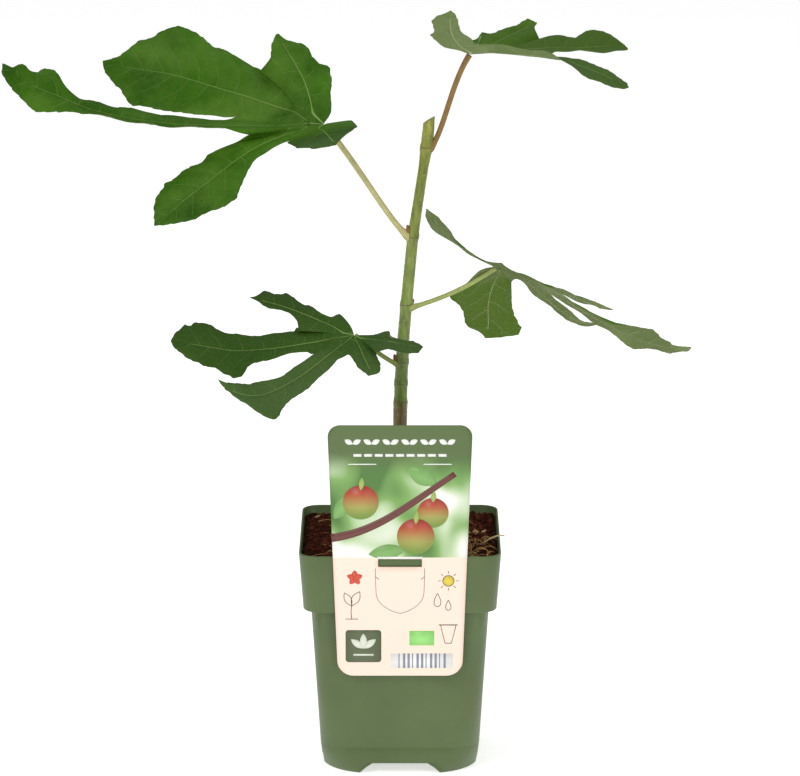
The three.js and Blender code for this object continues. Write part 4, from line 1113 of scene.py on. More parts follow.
def tooth_height(arc, total, share, pitch, seed):
    """size_k (u^0.8 (1 - soft step at 0.8..1) - 0.35), u the place within tooth k of the pitch."""
    x = arc / pitch + seed * 0.37
    k = np.floor(x)
    u = x - k
    size = 0.62 + 0.38 * np.sin(k * 2.7 + seed * 5.1)
    f = u ** 0.8 * (1 - smooth((u - 0.8) / 0.2))
    return size * (f - 0.35) * smooth((share - 0.12) / 0.3) * smooth((total - arc) / (0.35 * pitch))


def margin(leaf, ribs, meets, k, side, s_mid):
    """Edge C - side w (S cos f + ...) of a half lobe beside the places s_mid, f its fold, w its width.

    Also returns the edge's places s along the rib, its shares g from start to tip, and the points,
    normals and directions of the rib at s.
    """
    lobe, rib, i = leaf["lobes"][k], ribs[k], (0 if side < 0 else 1)
    L, J = lobe["length"], rib["C"][0]
    shared = 0 <= k + side < len(leaf["lobes"])
    inner = meets[min(k, k + side)] if shared else J
    start = max(0.04 * L, float((inner - J) @ rib["T"][0])) if shared else -lobe.get("ear", 0)
    s = s_mid + start * (1 - s_mid / L) ** min(FAN, 0.9 * L / max(start, 1))
    g = (s - start) / (L - start)
    base = along(rib, s, "C") + along(rib, s, "T") * np.minimum(s, 0)[:, None]
    n, S, T = along(rib, s, "N"), along(rib, s, "S"), along(rib, s, "T")
    fold = np.radians(listed(lobe["fold"][i], s / L, 0.02) if "fold" in lobe else 0 * g)[:, None]
    w = listed(lobe["right" if side < 0 else "left"], s / L, 0.8 / L) * np.minimum(1, (1 - g) / 0.004)
    wave = leaf["wave"] * np.sin(s / WAVE_LENGTH * 2 * np.pi + k * 1.7 + i * 2.1)
    wave = wave * smooth(g / 0.3) * smooth((1 - g) / 0.3)
    E = base - side * S * np.cos(fold) * w[:, None] + n * (np.sin(fold) * w[:, None] + wave[:, None])
    u = np.clip(g / WEB, 0, 1)
    E = E + (inner - E[0]) * ((1 - np.sqrt(u * (2 - u))) if shared else (1 - u) ** 2)[:, None]
    arc = np.r_[0, np.cumsum(np.linalg.norm(np.diff(E, axis=0), axis=1))]
    outward = unit(np.cross(unit(np.gradient(E, axis=0)), n * np.cos(fold) + side * S * np.sin(fold))) * -side
    teeth = tooth_height(arc, arc[-1], g, leaf["pitch"], k * 2 + i) * leaf["tooth"]
    return E + outward * teeth[:, None], s, g, base, n, T


print("heights of a margin's first teeth:",
      tooth_height(np.arange(4) * 6 + 4.8, 100, 0.5, 6, 0).round(2), "of their size")

# %% [markdown]
# A half lobe is spanned from the midrib to the margin in straight rows, arched a little. The rows
# lie closer at both ends of the midrib and the columns closer at the margin, because that is where
# the blade bends most. One lobe also rolls its edge over, and that is its curl.

# %% Half lobes


def half_lobe(leaf, ribs, meets, k, side, rows, cols):
    """Points (rows + 1, cols + 1, 3): (1 - t) M + t E + arch 4 t (1 - t) up, M the midrib, E the margin.

    Also returns the distances along and off the midrib, and the margin's shares.
    """
    lobe, L, i = leaf["lobes"][k], leaf["lobes"][k]["length"], (0 if side < 0 else 1)
    s_mid = L * ((1 - np.cos(np.pi * np.arange(rows + 1) / rows)) / 2) ** 1.25
    E, s, g, base, n, T = margin(leaf, ribs, meets, k, side, s_mid)
    M, up = along(ribs[k], s_mid, "C"), along(ribs[k], s_mid, "N")
    t = 1 - (1 - np.arange(cols + 1) / cols) ** 1.3
    lift = leaf["arch"] * np.linalg.norm(E - M, axis=1) * smooth(g / 0.25)
    P = mix(M[:, None], E[:, None], t[None, :, None])
    P = P + up[:, None] * (lift[:, None] * (4 * t * (1 - t)))[..., None]
    if "curl" in lobe:
        c = listed(lobe["curl"][i], s / L, 0.02)[:, None] * np.clip((t - 0.6) / 0.4, 0, 1)[None] ** 2
        P = P + n[:, None] * c[..., None] - unit(E - M)[:, None] * (0.45 * c)[..., None]
    ahead = ((E - base) * T).sum(-1)
    off = np.linalg.norm(E - base - ahead[:, None] * T, axis=-1)
    return P, mix(s_mid[:, None], (s + ahead)[:, None], t[None]), off[:, None] * t[None], g


# %% [markdown]
# The half lobes are sewn together where they touch: points at the same place become one. The
# sewn sheet still shows the straight lines of its construction, so every inner point is moved
# many times towards the mean of its neighbours, while the margin stays. Then the blade gets what a
# living one has: a valley along each midrib, a shallow quilting between the side veins, and a
# thickness that thins out to the margin.

# %% From half lobes to one blade
ROW_GAP, COLUMNS = 0.85, 16  # mm between grid rows along a midrib, and columns from it to the margin
VEIN_GAP = 15.0  # mm between side veins along a midrib
VEIN_SLANT, VEIN_BEND = 0.72, 0.006  # how far a side vein runs on towards the tip, per mm and per mm^2
RELAX = 110  # times that a sewn blade is evened out
RIB_FADE = 3.0  # mm that the drawn midrib is moved aside at the tip of a lobe, where it ends
MAP_UNIT = 100.0  # mm that are one unit of the blade's own map
QUILT, VALLEY = 0.55, 0.55  # mm that the blade bulges between side veins and dips along a midrib
THICK, THICK_AT_MARGIN = 0.4, 0.18


def sew(points, tris):
    """Points within a thousandth of a millimetre become one; triangles that lose an edge are dropped."""
    _, first, index = np.unique(np.round(points, 3), axis=0, return_index=True, return_inverse=True)
    tris = index.ravel()[tris]
    whole = (tris[:, 0] != tris[:, 1]) & (tris[:, 1] != tris[:, 2]) & (tris[:, 0] != tris[:, 2])
    return points[first], tris[whole], whole, index.ravel()


def relax(points, tris, times):
    """times times: every point that isn't on an open edge goes 0.6 of the way to its neighbours' mean."""
    u = np.concatenate([tris.ravel(), np.roll(tris, -1, axis=1).ravel()])
    v = np.concatenate([np.roll(tris, -1, axis=1).ravel(), tris.ravel()])
    count = len(points)
    degree = np.maximum(np.bincount(u, minlength=count), 1)[:, None]
    at, to = open_edges(tris, count)
    free = np.ones(count, bool)
    free[tris.ravel()[at]] = free[tris.ravel()[to]] = False
    p = points.copy()
    for _ in range(times):
        mean = np.stack([np.bincount(u, p[v, i], count) for i in range(3)], 1) / degree
        p[free] += 0.6 * (mean - p)[free]
    return p, ~free


def meeting_points(leaf, ribs, J):
    """Where two lobes part: J + R along the direction between their ribs + dip along the normal."""
    meets = []
    for j, R in enumerate(leaf["sinus"]):
        way = unit(mix(along(ribs[j], R, "C"), along(ribs[j + 1], R, "C"), leaf["lean"][j]) - J)
        up = unit(along(ribs[j], R, "N") + along(ribs[j + 1], R, "N"))
        meets.append(J + way * R + up * leaf["dip"][j])
    return meets


def relief(s, off, g, phase, share, length):
    """QUILT (1 - b^3) with b 1 on a side vein and 0 midway, less VALLEY exp(-(off / 1.6)^2)."""
    b = np.abs(phase - np.floor(phase) - 0.5) * 2
    rise = QUILT * (1 - b ** 3) * smooth(off / 5) * smooth((1 - share) / 0.25) * smooth(g / 0.15)[:, None]
    return rise - VALLEY * np.exp(-(off / 1.6) ** 2) * smooth((1 - s / length) / 0.2)


def blade(leaf, J):
    """Closed blade: points, faces, which face is upper (0) or lower (1), and the three UV maps."""
    ribs = [midrib(J, lobe) for lobe in leaf["lobes"]]
    meets = meeting_points(leaf, ribs, J)
    points, tris, flat, veins, light, quilt, start = [], [], [], [], [], [], 0
    for k, lobe in enumerate(leaf["lobes"]):
        rows, cols = max(24, int(lobe["length"] / ROW_GAP)), COLUMNS
        for side in (-1, 1):
            P, s, off, g = half_lobe(leaf, ribs, meets, k, side, rows, cols)
            quads = np.array(grid_faces(rows + 1, cols + 1, ring=False))
            phase = (s - VEIN_SLANT * off - VEIN_BEND * off ** 2) / VEIN_GAP + 0.5 * (side > 0) + k * 0.31
            share = off / np.maximum(off[:, -1:], 1e-6)
            fade = RIB_FADE * smooth((s / lobe["length"] - 0.88) / 0.12)
            # painted sheen and shade: from the leaf's amount near the joint to the lobe's own further out
            sheen_and_shade_amount = mix(leaf["sheen_and_shade"], lobe.get("sheen_and_shade", leaf["sheen_and_shade"]), smooth((s - 4) / 30))
            points.append(P.reshape(-1, 3))
            tris.append(two_triangles(quads if side < 0 else quads[:, ::-1]) + start)
            flat.append(np.stack([s, side * (off + fade)], -1).reshape(-1, 2) / MAP_UNIT)
            veins.append(np.stack([phase, share + k], -1).reshape(-1, 2))
            # the light map is painted light: the painted backlight glow, then the painted sheen and shade
            light.append(np.stack([lobe.get("painted_backlight", 0) * smooth(s / 15), sheen_and_shade_amount], -1).reshape(-1, 2))
            quilt.append(relief(s, off, g, phase, share, lobe["length"]).ravel())
            start += P.shape[0] * P.shape[1]
    tris = np.concatenate(tris)
    sewn, faces, whole, index = sew(np.concatenate(points), tris)
    sewn, rim = relax(sewn, faces, RELAX)
    height = np.zeros(len(sewn))
    height[index] = np.concatenate(quilt)
    sewn = sewn + vertex_normals(sewn, faces) * height[:, None]
    at = tris[whole].ravel()
    maps = {"blade": flat, "veins": veins, "light": light}
    corners = {key: np.concatenate(pairs)[at] for key, pairs in maps.items()}
    return thicken(sewn, faces, np.where(rim, THICK_AT_MARGIN, THICK) / 2, corners)


# %% [markdown]
# ## The four leaves
#
# Headings run counterclockwise from +X seen from above, rises go up from level and rolls lift
# the left side, all in degrees from the first to the last value. Right and left list the margin as
# pairs: a share of the lobe's length and the distance from the midrib in millimetres. Sinus is how
# far from the joint two lobes part, lean and dip shift that point. The amount of painted sheen and
# shade deepens the skin's green a little at low values and greys and pales it at high ones, and the
# amount of painted backlight paints in the green of light shining through a lobe.
#
# A few lobes have more: an ease above 1 keeps the turning for the tip, bow bends a midrib on its
# way, twist turns its far part, fold tips a half lobe up from the midrib, curl rolls its edge over,
# and an ear carries a margin back past the joint.
#
# The upper left leaf faces the viewer and its longest lobe curls over. The lower left one is
# folded, the top right one is seen from its edge with the sides raised, and the right one hangs
# with its tips down.

# %% Leaf sizes
# The amounts of sheen and shade and of backlight in this table are painted light, not the leaves' own colour.
LEAVES = {
    "upper_left": dict(
        wave=0.8, arch=0.05, pitch=7, tooth=1.1, sheen_and_shade=0.05,
        sinus=[60, 56, 49, 28], dip=[0, 0, 3, 0], lean=[0.5, 0.5, 0.5, 0.3],
        lobes=[
            dict(length=73, heading=(120, 130), rise=(40, 50), roll=(-10, -10),
                 right=[(0, 0), (0.05, 5), (0.1, 8.5), (0.2, 12), (0.3, 14.5), (0.4, 18.8),
                        (0.5, 20.8), (0.56, 23), (0.59, 22.5), (0.61, 18.5), (0.7, 15), (0.8, 14.8),
                        (0.84, 13.2), (0.93, 2.5), (0.96, 0.6), (1, 0)],
                 left=[(0.66, 21), (0.75, 14.5), (0.9, 8.5), (0.95, 5.8), (1, 1.5)]),
            dict(length=160, heading=(153, 161), rise=(12, 10), roll=(-42, -42),
                 right=[(0.33, 27), (0.4, 26), (0.5, 30), (0.55, 33), (0.6, 32.3), (0.7, 40),
                        (0.75, 41.5), (0.78, 40.5), (0.83, 33.2), (0.85, 27.5), (0.9, 22.5),
                        (0.925, 13), (0.95, 5.2), (1, 0)],
                 left=[(0.3, 13), (0.4, 17.6), (0.5, 20.2), (0.6, 24.3), (0.7, 25.3), (0.79, 28),
                       (0.81, 26.5), (0.88, 17), (0.9, 16.3), (0.95, 10.3), (0.98, 6), (1, 0)]),
            dict(length=213, heading=(184, 178), rise=(-2.2, 39.6), ease=2.1, roll=(-8, -62),
                 right=[(0.235, 9), (0.4, 11), (0.6, 11), (0.65, 8.5), (0.7, 7.5), (0.75, 5.5),
                        (0.8, 9.2), (0.82, 13.5), (0.85, 17.5), (0.886, 14.5), (0.89, 10.3),
                        (0.904, 8.2), (0.916, 7), (0.937, 8.2), (0.955, 7.2), (0.961, 6.3),
                        (0.965, 1.4), (0.98, 1.4), (1, 0)],
                 left=[(0.22, 12), (0.5, 14.3), (0.65, 11), (0.7, 8.5), (0.75, 8), (0.85, 17.2),
                       (0.95, 9), (0.98, 6), (1, 0)],
                 curl=[[(0, 0)], [(0.24, 0), (0.32, 5), (0.55, 6), (0.68, 5), (0.76, 0)]]),
            dict(length=132, heading=(192, 212), rise=(-2, -36), ease=0.45, roll=(-10, -30),
                 right=[(0.31, 19), (0.4, 15.2), (0.5, 17), (0.55, 18.8), (0.6, 16), (0.7, 18.4),
                        (0.75, 18), (0.8, 20.3), (0.82, 17.3), (0.88, 15), (0.93, 10.5), (0.95, 6.8),
                        (1, 0)],
                 left=[(0.22, 6.3), (0.3, 6), (0.4, 8), (0.5, 14.3), (0.6, 24), (0.62, 26.5),
                       (0.7, 24.3), (0.75, 21), (0.8, 19.5), (0.85, 17.2), (0.95, 6.8), (1, 0)]),
            dict(length=36, heading=(278, 290), rise=(-12, -12), roll=(10, 10), sheen_and_shade=0.8,
                 right=[(0.44, 28.5), (0.5, 26.5), (0.6, 24.3), (0.84, 23.8), (0.88, 16), (0.93, 16.5),
                        (0.97, 13), (1, 0)],
                 left=[(0, 0), (0.03, 12), (0.06, 18), (0.3, 20), (0.4, 20), (0.6, 15.2), (0.7, 9.5),
                       (0.8, 5), (0.9, 2), (1, 0)]),
        ]),
    "lower_left": dict(
        wave=0.8, arch=0.04, pitch=6, tooth=0.9, sheen_and_shade=0.55,
        sinus=[38, 28, 19, 22], dip=[0, 0, 0, 0], lean=[0.5, 0.5, 0.5, 0.5],
        lobes=[
            dict(length=79, heading=(148, 156), rise=(14, 10), roll=(-25, -25),
                 right=[(0, 3), (0.1, 6.5), (0.2, 11.2), (0.262, 13.2), (0.28, 6.2), (0.3, 5.5),
                        (0.4, 6.6), (0.5, 10), (0.53, 10.3), (0.55, 9.2), (0.76, 13.7), (0.775, 11),
                        (0.85, 10), (0.9, 10.8), (0.94, 10.3), (0.955, 3), (1, 0)],
                 left=[(0.47, 9.2), (0.5, 7.1), (0.55, 4.8), (0.6, 3.5), (0.7, 2.8), (0.8, 3.6),
                       (0.85, 3.3), (0.9, 1.2), (1, 0)]),
            dict(length=120, heading=(181, 175), rise=(-18, 13), roll=(-20, -40), sheen_and_shade=0.5,
                 right=[(0.305, 24.5), (0.32, 18.5), (0.4, 16), (0.6, 13.8), (0.7, 14.2), (0.8, 19.4),
                        (0.83, 19.8), (0.9, 18.8), (0.912, 15.8), (0.935, 15), (0.955, 16), (0.97, 9),
                        (0.985, 10), (0.988, 6), (0.995, 4.5), (1, 0)],
                 left=[(0.245, 9.6), (0.26, 6.3), (0.3, 5.2), (0.35, 5.4), (0.5, 9.7), (0.55, 12.5),
                       (0.575, 16), (0.595, 24), (0.64, 25), (0.66, 22), (0.7, 20), (0.73, 16.5),
                       (0.8, 16.4), (0.82, 14), (0.9, 10.3), (0.93, 7.3), (0.97, 5), (1, 0)]),
            dict(length=109, heading=(216, 160), rise=(-28, 60), ease=4, roll=(-25, -60), sheen_and_shade=1,
                 right=[(0.29, 8), (0.5, 8.3), (0.6, 9.2), (0.7, 11.3), (0.8, 10), (0.9, 6.5), (1, 0)],
                 left=[(0.136, 10.3), (0.2, 7.3), (0.3, 9.6), (0.4, 10), (0.6, 13), (0.65, 16),
                       (0.68, 20.5), (0.7, 22), (0.72, 20), (0.8, 7.3), (0.85, 3.5), (0.9, 0.8), (1, 0)]),
            dict(length=39, heading=(285, 293), rise=(-26, -34), roll=(10, 10), sheen_and_shade=0.9,
                 right=[(0.48, 7.5), (0.6, 6.1), (0.8, 5.7), (1, 1.5)],
                 left=[(0.5, 10), (0.6, 8.7), (0.8, 8.8), (0.9, 8), (0.97, 6.5), (1, 4.5)]),
            dict(length=47, heading=(342, 342), rise=(-5, -7), roll=(10, 10), sheen_and_shade=0.9,
                 right=[(0.47, 21), (0.52, 17), (0.6, 14), (0.7, 15), (0.8, 14.3), (1, 10)],
                 left=[(0, 0.5), (0.1, 1.6), (0.2, 3.6), (0.3, 8.3), (0.368, 12.6), (0.44, 12.9),
                       (0.452, 5.4), (0.5, 2.3), (0.765, 6.7), (0.816, 7), (0.854, 4.7), (0.943, 2.7),
                       (1, 0)]),
        ]),
    "top_right": dict(
        wave=0.8, arch=0.04, pitch=6, tooth=0.9, sheen_and_shade=0.15,
        sinus=[24, 52, 55, 24], dip=[0, 0, 0, 0], lean=[0.5, 0.5, 0.5, 0.5],
        lobes=[
            dict(length=56, heading=(235, 272), rise=(20, 56), roll=(15, 10),
                 right=[(0, 0), (0.1, 1.9), (0.4, 10.1), (0.625, 14.5), (0.645, 12), (0.665, 10.9),
                        (0.8, 11.1), (0.885, 12.4), (0.9, 10.3), (0.935, 9.5), (0.95, 7), (0.965, 3),
                        (1, 0)],
                 left=[(0.4, 10), (0.6, 5.5), (0.8, 4.7), (0.9, 3.7), (0.95, 2.5), (1, 0)]),
            dict(length=115, heading=(345, 310), rise=(3, -21), ease=1.5,
                 roll=(-60, -60), twist=(70, 0.35, 0.75), sheen_and_shade=0.8, painted_backlight=0.2,
                 right=[(0.2, 7.5), (0.26, 5.6), (0.36, 4.8), (0.48, 6), (0.7, 11), (0.8, 11.5),
                        (0.9, 10), (0.95, 8), (0.98, 5), (1, 2)],
                 left=[(0.36, 9), (0.45, 6.5), (0.7, 6), (0.8, 4), (0.96, 3.6), (1, 1)],
                 fold=[[(0, 0)], [(0, 50), (1, 0)]]),
            dict(length=106, heading=(14, 18), rise=(-1, -1), roll=(0, 0), sheen_and_shade=0.6, painted_backlight=0.5,
                 right=[(0.47, 12), (0.75, 14), (0.82, 13.6), (0.88, 11.8), (0.94, 8), (0.98, 4),
                        (1, 0)],
                 left=[(0.46, 24.4), (0.475, 20), (0.5, 17), (0.6, 16.6), (0.7, 15), (0.75, 18.5),
                       (0.8, 20.4), (0.9, 19.8), (0.93, 17), (0.96, 11.5), (1, 1)],
                 fold=[[(0, 20), (1, 0)], [(0, 25), (1, 28)]]),
            dict(length=75, heading=(52, 56), rise=(4, 12), roll=(0, 0), painted_backlight=0.5,
                 right=[(0.6, 21), (0.8, 8.5), (0.9, 4), (1, 0.8)],
                 left=[(0.28, 8.5), (0.33, 10), (0.4, 10.8), (0.5, 11), (0.6, 10.4), (0.75, 6.5),
                       (0.8, 6.3), (0.9, 7.4), (1, 6.4)],
                 fold=[[(0, 10)], [(0, 20)]]),
            dict(length=46, heading=(82, 76), rise=(7, 9), roll=(0, 0),
                 right=[(0.5, 12), (0.7, 13), (0.85, 11), (0.95, 6), (1, 0)],
                 left=[(0, 0), (0.1, 4), (0.3, 6), (0.5, 5), (0.6, 3.5), (0.7, 0.9), (1, 0.8)]),
        ]),
    "right": dict(
        wave=0.6, arch=0.04, pitch=6, tooth=0.9, sheen_and_shade=0,
        sinus=[24, 46, 38, 20], dip=[0, 0, 0, 1], lean=[0.5, 0.4, 0.4, 0.38],
        lobes=[
            dict(length=67, heading=(200, 212), rise=(23, 57), roll=(0, 6),
                 right=[(0, 0), (0.1, 2), (0.35, 3.2), (0.5, 6), (0.6, 10), (0.7, 12.4), (0.8, 11),
                        (0.85, 9.5), (0.93, 5.2), (0.95, 3.2), (1, 0.8)],
                 left=[(0.3, 3), (0.5, 4.5), (0.6, 7.5), (0.7, 9.5), (0.8, 9.3), (0.91, 8.6),
                       (0.93, 7.5), (0.95, 3), (1, 0.6)]),
            dict(length=88, heading=(340, 318), rise=(-13, -1), bow=-8, roll=(-20, -40),
                 right=[(0.27, 8), (0.4, 2.5), (0.5, 6.5), (0.6, 9), (0.8, 7), (0.9, 4.2), (1, 0)],
                 left=[(0.53, 5), (0.6, 6.3), (0.7, 7), (0.8, 3.6), (0.85, 4.8), (0.9, 2), (0.96, 1.6),
                       (1, 0)]),
            dict(length=139, heading=(4, -4), rise=(-17.5, 5), bow=-26, roll=(-25, -50),
                 right=[(0.335, 5), (0.4, 3), (0.5, 3.4), (0.6, 6.3), (0.7, 13.3), (0.79, 18.5),
                        (0.82, 14.5), (0.85, 8.6), (0.9, 5), (0.91, 2), (1, 0.5)],
                 left=[(0.27, 4), (0.4, 4.8), (0.6, 4.9), (0.75, 12), (0.8, 7.4), (0.85, 5.8),
                       (0.9, 7), (0.95, 4.3), (0.98, 4.2), (1, 1)]),
            dict(length=92, heading=(35, 21), rise=(-12, 0), bow=-38, roll=(-25, -30),
                 right=[(0.41, 6), (0.6, 6.6), (0.7, 5.9), (0.75, 5), (0.85, 1.5), (0.9, 0.4), (1, 0.3)],
                 left=[(0.22, 4), (0.3, 4.2), (0.4, 6.1), (0.6, 3.3), (0.65, 4.2), (0.7, 3.2),
                       (0.9, 7.6), (0.95, 6.3), (1, 0.6)]),
            dict(length=57, heading=(120, 96), rise=(-66, -66), roll=(0, 0), ear=5, painted_backlight=1,
                 right=[(0.29, 13.7), (0.58, 16.3), (0.675, 17.8), (0.77, 20.7), (0.82, 21.6),
                        (0.868, 24), (0.977, 21.3), (0.983, 17), (0.99, 8.4), (1, 0)],
                 left=[(-0.1, 8.5), (0, 12), (0.1, 16.8), (0.19, 20.3), (0.29, 27), (0.36, 29),
                       (0.41, 27), (0.48, 21.6), (0.58, 17.3), (0.77, 14), (0.82, 12.4), (0.85, 10.6),
                       (0.9, 3.1), (0.93, 1), (1, 0)]),
        ]),
}
for name, leaf in LEAVES.items():
    print(f"{name}: lobes of", [lobe["length"] for lobe in leaf["lobes"]], "mm")

# %% [markdown]
# ## Leaf skin
#
# The upper side is dark and satin with fine pale veins that lie in the surface. The underside is
# grey-green and felted, with veins that stand out. Both read the blade's own maps: one gives
# millimetres along and across a lobe, which draws the midrib, the second the place between side
# veins, and the third two painted lights: the painted glow of light shining through a lobe, and
# the painted sheen and shade. The net between the veins is a cell pattern of 4 mm on the
# millimetre map. A little light passes through the blade.

# %% Leaf materials: upper cuticle and felted underside
# painted light: the green of a lobe that light shines through, mixed into its colour
BACKLIT_GREEN = "#54741c"  # green of a lobe that the light shines through
SEEP = 0.16  # share of light that passes through the blade


def leaf_material(name, dark, light, dust_and_sheen, vein, sheen_and_shade, strength, clear, **constants):
    """Blade skin between dark and light, with patches of dust that also paint a sheen, a painted sheen and
    shade, deep or pale by its amount, and a painted glow where light shines through.

    strength > 0 raises the veins, < 0 sinks them; clear is how much the fine ones show.
    """
    m, tree, shader = begin(name, **constants)

    def math(kind, *values):
        return put(tree, "ShaderNodeMath", dict(enumerate(values)), operation=kind).outputs[0]

    def ramp(value, low, high, to_low, to_high, kind="LINEAR"):
        sockets = dict(enumerate((value, low, high, to_low, to_high)))
        return put(tree, "ShaderNodeMapRange", sockets, interpolation_type=kind).outputs[0]

    def over(amount, under, top):
        return put(tree, "ShaderNodeMix", {0: amount, 6: under, 7: top}, data_type="RGBA").outputs[2]

    flat = put(tree, "ShaderNodeUVMap", uv_map="blade").outputs[0]
    vein_map = put(tree, "ShaderNodeUVMap", uv_map="veins").outputs[0]
    place = put(tree, "ShaderNodeTexCoord").outputs["Object"]
    a = put(tree, "ShaderNodeSeparateXYZ", {0: flat})
    b = put(tree, "ShaderNodeSeparateXYZ", {0: vein_map})
    off = math("MULTIPLY", math("ABSOLUTE", a.outputs["Y"]), MAP_UNIT)
    s = math("MULTIPLY", a.outputs["X"], MAP_UNIT)
    share = math("FRACT", b.outputs["Y"])
    # midrib, side veins and net, each 1 on its line and 0 beside it
    rib_half = math("MAXIMUM", math("SUBTRACT", 0.45, math("MULTIPLY", s, 0.0022)), 0.16)
    rib_half = math("MULTIPLY", rib_half, ramp(s, 2.0, 18.0, 0.45, 1.0))
    rib = ramp(math("DIVIDE", off, rib_half), 0.45, 1.2, 1.0, 0.0, "SMOOTHSTEP")
    wobble = put(tree, "ShaderNodeTexNoise",
                 {"Vector": place, "Scale": per(14), "Detail": 2.0}).outputs["Fac"]
    phase = math("ADD", b.outputs["X"], math("MULTIPLY", math("SUBTRACT", wobble, 0.5), 0.28))
    midway = math("SUBTRACT", math("FRACT", math("ADD", phase, 0.5)), 0.5)
    gap = math("MULTIPLY", math("ABSOLUTE", midway), VEIN_GAP * 0.8)
    side_half = math("SUBTRACT", 0.38, math("MULTIPLY", share, 0.22))
    side = ramp(math("DIVIDE", gap, side_half), 0.4, 1.3, 1.0, 0.0, "SMOOTHSTEP")
    side = math("MULTIPLY", side, ramp(share, 0.8, 0.97, 1.0, 0.0))
    cells = put(tree, "ShaderNodeTexVoronoi", {"Vector": flat, "Scale": MAP_UNIT / 4.2},
                feature="DISTANCE_TO_EDGE", voronoi_dimensions="2D").outputs["Distance"]
    net = ramp(cells, 0.02, 0.10, 1.0, 0.0, "SMOOTHSTEP")
    # ground colour, dust with painted sheen, painted sheen and shade, painted glow of light shining through,
    # and the veins on top
    cloud = put(tree, "ShaderNodeTexNoise", {"Vector": place, "Scale": per(38), "Detail": 3.0}).outputs["Fac"]
    tint = over(ramp(cloud, 0.3, 0.7, 0.0, 1.0), colour(dark), colour(light))
    # dust and painted sheen: lighter, greyer patches, partly dust and partly the sheen of soft light
    dust_and_sheen_patches = put(tree, "ShaderNodeTexNoise",
                {"Vector": place, "Scale": per(45), "Detail": 5.0, "Roughness": 0.62}).outputs["Fac"]
    tint = over(ramp(dust_and_sheen_patches, 0.42, 0.72, 0.0, 0.6), tint, colour(dust_and_sheen))
    # painted light: X paints the glow of light shining through a lobe, Y paints sheen and shade
    painted_light = put(tree, "ShaderNodeSeparateXYZ",
              {0: put(tree, "ShaderNodeUVMap", uv_map="light").outputs[0]}).outputs
    # painted sheen and shade: a deeper green shade at low amounts, a grey sheen at high ones
    sheen_and_shade_colour = put(tree, "ShaderNodeValToRGB", {"Fac": painted_light["Y"]}, stops=[(0.4, sheen_and_shade[0]), (1.0, sheen_and_shade[1])])
    tint = over(math("MINIMUM", math("MULTIPLY", painted_light["Y"], 1.6), 0.8), tint, sheen_and_shade_colour.outputs["Color"])
    tint = over(math("MULTIPLY", painted_light["X"], 0.85), tint, colour(BACKLIT_GREEN))
    fine = math("MAXIMUM", math("MULTIPLY", side, clear), math("MULTIPLY", net, 0.25 * clear))
    tint = over(math("MAXIMUM", rib, fine), tint, colour(vein))
    height = math("ADD", rib, math("ADD", math("MULTIPLY", side, 0.6), math("MULTIPLY", net, 0.25)))
    bump = put(tree, "ShaderNodeBump", {"Height": height, "Strength": abs(strength), "Distance": 0.0008},
               invert=strength < 0)
    tree.links.new(tint, shader.inputs["Base Color"])
    tree.links.new(bump.outputs["Normal"], shader.inputs["Normal"])
    through = put(tree, "ShaderNodeBsdfTranslucent", {"Color": tint, "Normal": bump.outputs["Normal"]})
    both = put(tree, "ShaderNodeMixShader", {0: SEEP, 1: shader.outputs[0], 2: through.outputs[0]})
    tree.links.new(both.outputs[0], tree.nodes["Material Output"].inputs["Surface"])
    return m


# The dust colour paints dust and sheen; the pair after the vein colour paints a deeper shade and a grey
# sheen.
leaf_upper = leaf_material(
    "fig_leaf_upper", dark="#275004", light="#3e7009", dust_and_sheen="#6a9434", vein="#86a458",
    sheen_and_shade=("#33501a", "#4d6538"), strength=-0.5, clear=0.26,
    Roughness=0.45, IOR=1.45, Specular_IOR_Level=0.1)
leaf_under = leaf_material(
    "fig_leaf_under", dark="#667646", light="#768752", dust_and_sheen="#93a072", vein="#a9b581",
    sheen_and_shade=("#6e8050", "#76875a"), strength=0.8, clear=0.5,
    Roughness=0.75, IOR=1.4, Specular_IOR_Level=0.2)

for name, leaf in LEAVES.items():
    points, faces, kinds, corners = blade(leaf, np.array(JOINTS[name], float))
    make(f"leaf_{name}_visual", points, faces, [leaf_upper, leaf_under], "leaf", f"leaf_{name}",
         corners=corners, kinds=kinds)

# %% [markdown]
# ## Floor, light and camera
#
# The plant stands on a pale floor that fades into a white world, lit by large soft lamps so that
# the green reads evenly. The camera stands three metres off with a long lens and looks down a
# little, so that the top of the soil shows. Here lengths are in metres, as Blender has them.

# %% Stage
FLOOR_RADIUS, FLOOR_DROP = 12, 0.0002
CAMERA = dict(distance=3, down=13.46, aim=0.24535, lens=208.285)  # m, degrees, m above the floor, mm


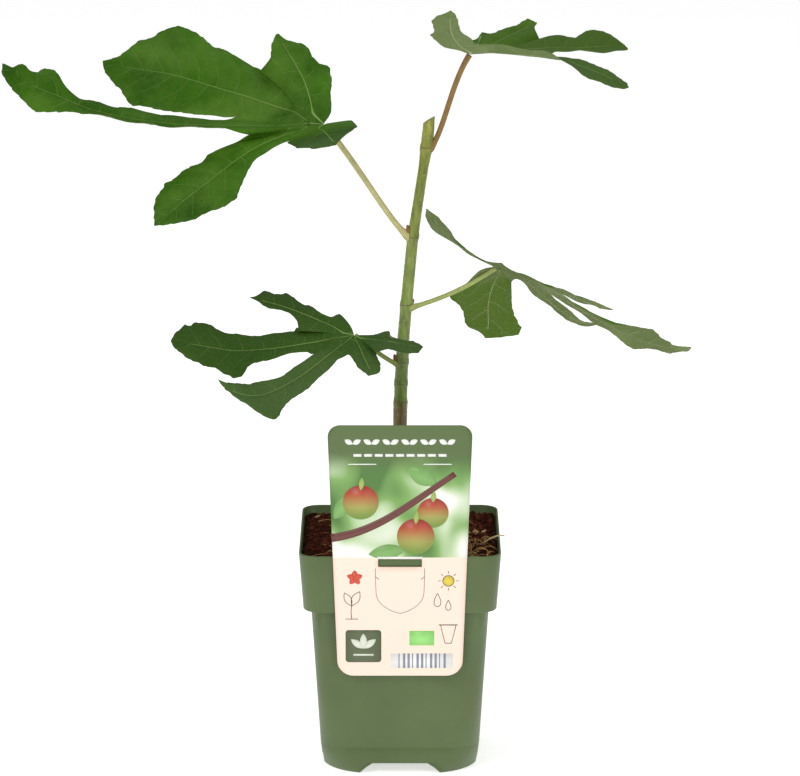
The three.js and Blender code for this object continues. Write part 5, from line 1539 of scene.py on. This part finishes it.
def stage_floor():
    """A round pale light table of 96 corners, a hair under the pot."""
    a = np.linspace(0, 2 * np.pi, 97)[:-1]
    points = np.column_stack([FLOOR_RADIUS * np.cos(a), FLOOR_RADIUS * np.sin(a), np.full(96, -FLOOR_DROP)])
    mesh = bpy.data.meshes.new("floor")
    mesh.from_pydata(points.tolist(), [], [list(range(96))])
    m, _, shader = begin("floor_matte_paint", Roughness=0.8)
    shader.inputs["Base Color"].default_value = colour("#f6f6f5")
    shader.inputs["Emission Color"].default_value = colour("#ffffff")
    shader.inputs["Emission Strength"].default_value = 0.6
    mesh.materials.append(m)
    floor = bpy.data.objects.new("floor", mesh)
    bpy.context.scene.collection.objects.link(floor)


def lamp(name, place, size, watts):
    """A square area lamp that faces the middle of the plant."""
    data = bpy.data.lights.new(name, "AREA")
    data.size, data.energy = size, watts
    lamp_object = bpy.data.objects.new(name, data)
    lamp_object.location = place
    lamp_object.rotation_euler = (Vector((0, 0, 0.25)) - Vector(place)).to_track_quat("-Z", "Y").to_euler()
    bpy.context.scene.collection.objects.link(lamp_object)


def white_world():
    """An even white surround, weak beside the lamps."""
    world = bpy.data.worlds.new("studio")
    world.use_nodes = True
    sky = world.node_tree.nodes["Background"]
    sky.inputs["Color"].default_value = colour("#ffffff")
    sky.inputs["Strength"].default_value = 0.36
    bpy.context.scene.world = world
    bpy.context.scene.view_settings.view_transform = "Standard"


def set_camera():
    """Distance d and angle a below the horizontal: (0, -d cos a, aim + d sin a), turned down by a."""
    data = bpy.data.cameras.new("camera")
    data.lens, data.sensor_width, data.sensor_fit = CAMERA["lens"], 36, "HORIZONTAL"
    data.clip_end = 50
    camera = bpy.data.objects.new("camera", data)
    down, d = np.radians(CAMERA["down"]), CAMERA["distance"]
    camera.location = (0, -d * np.cos(down), CAMERA["aim"] + d * np.sin(down))
    camera.rotation_euler = (np.pi / 2 - down, 0, 0)
    bpy.context.scene.collection.objects.link(camera)
    bpy.context.scene.camera = camera


stage_floor()
lamp("key", (-1.3, -1.8, 2.0), 1.2, 28)
lamp("fill", (1.7, -1.7, 1.3), 1.6, 12)
lamp("top", (0.2, 0.3, 2.4), 1.6, 12)
white_world()
set_camera()
print("camera at", [round(value, 3) for value in bpy.context.scene.camera.location])
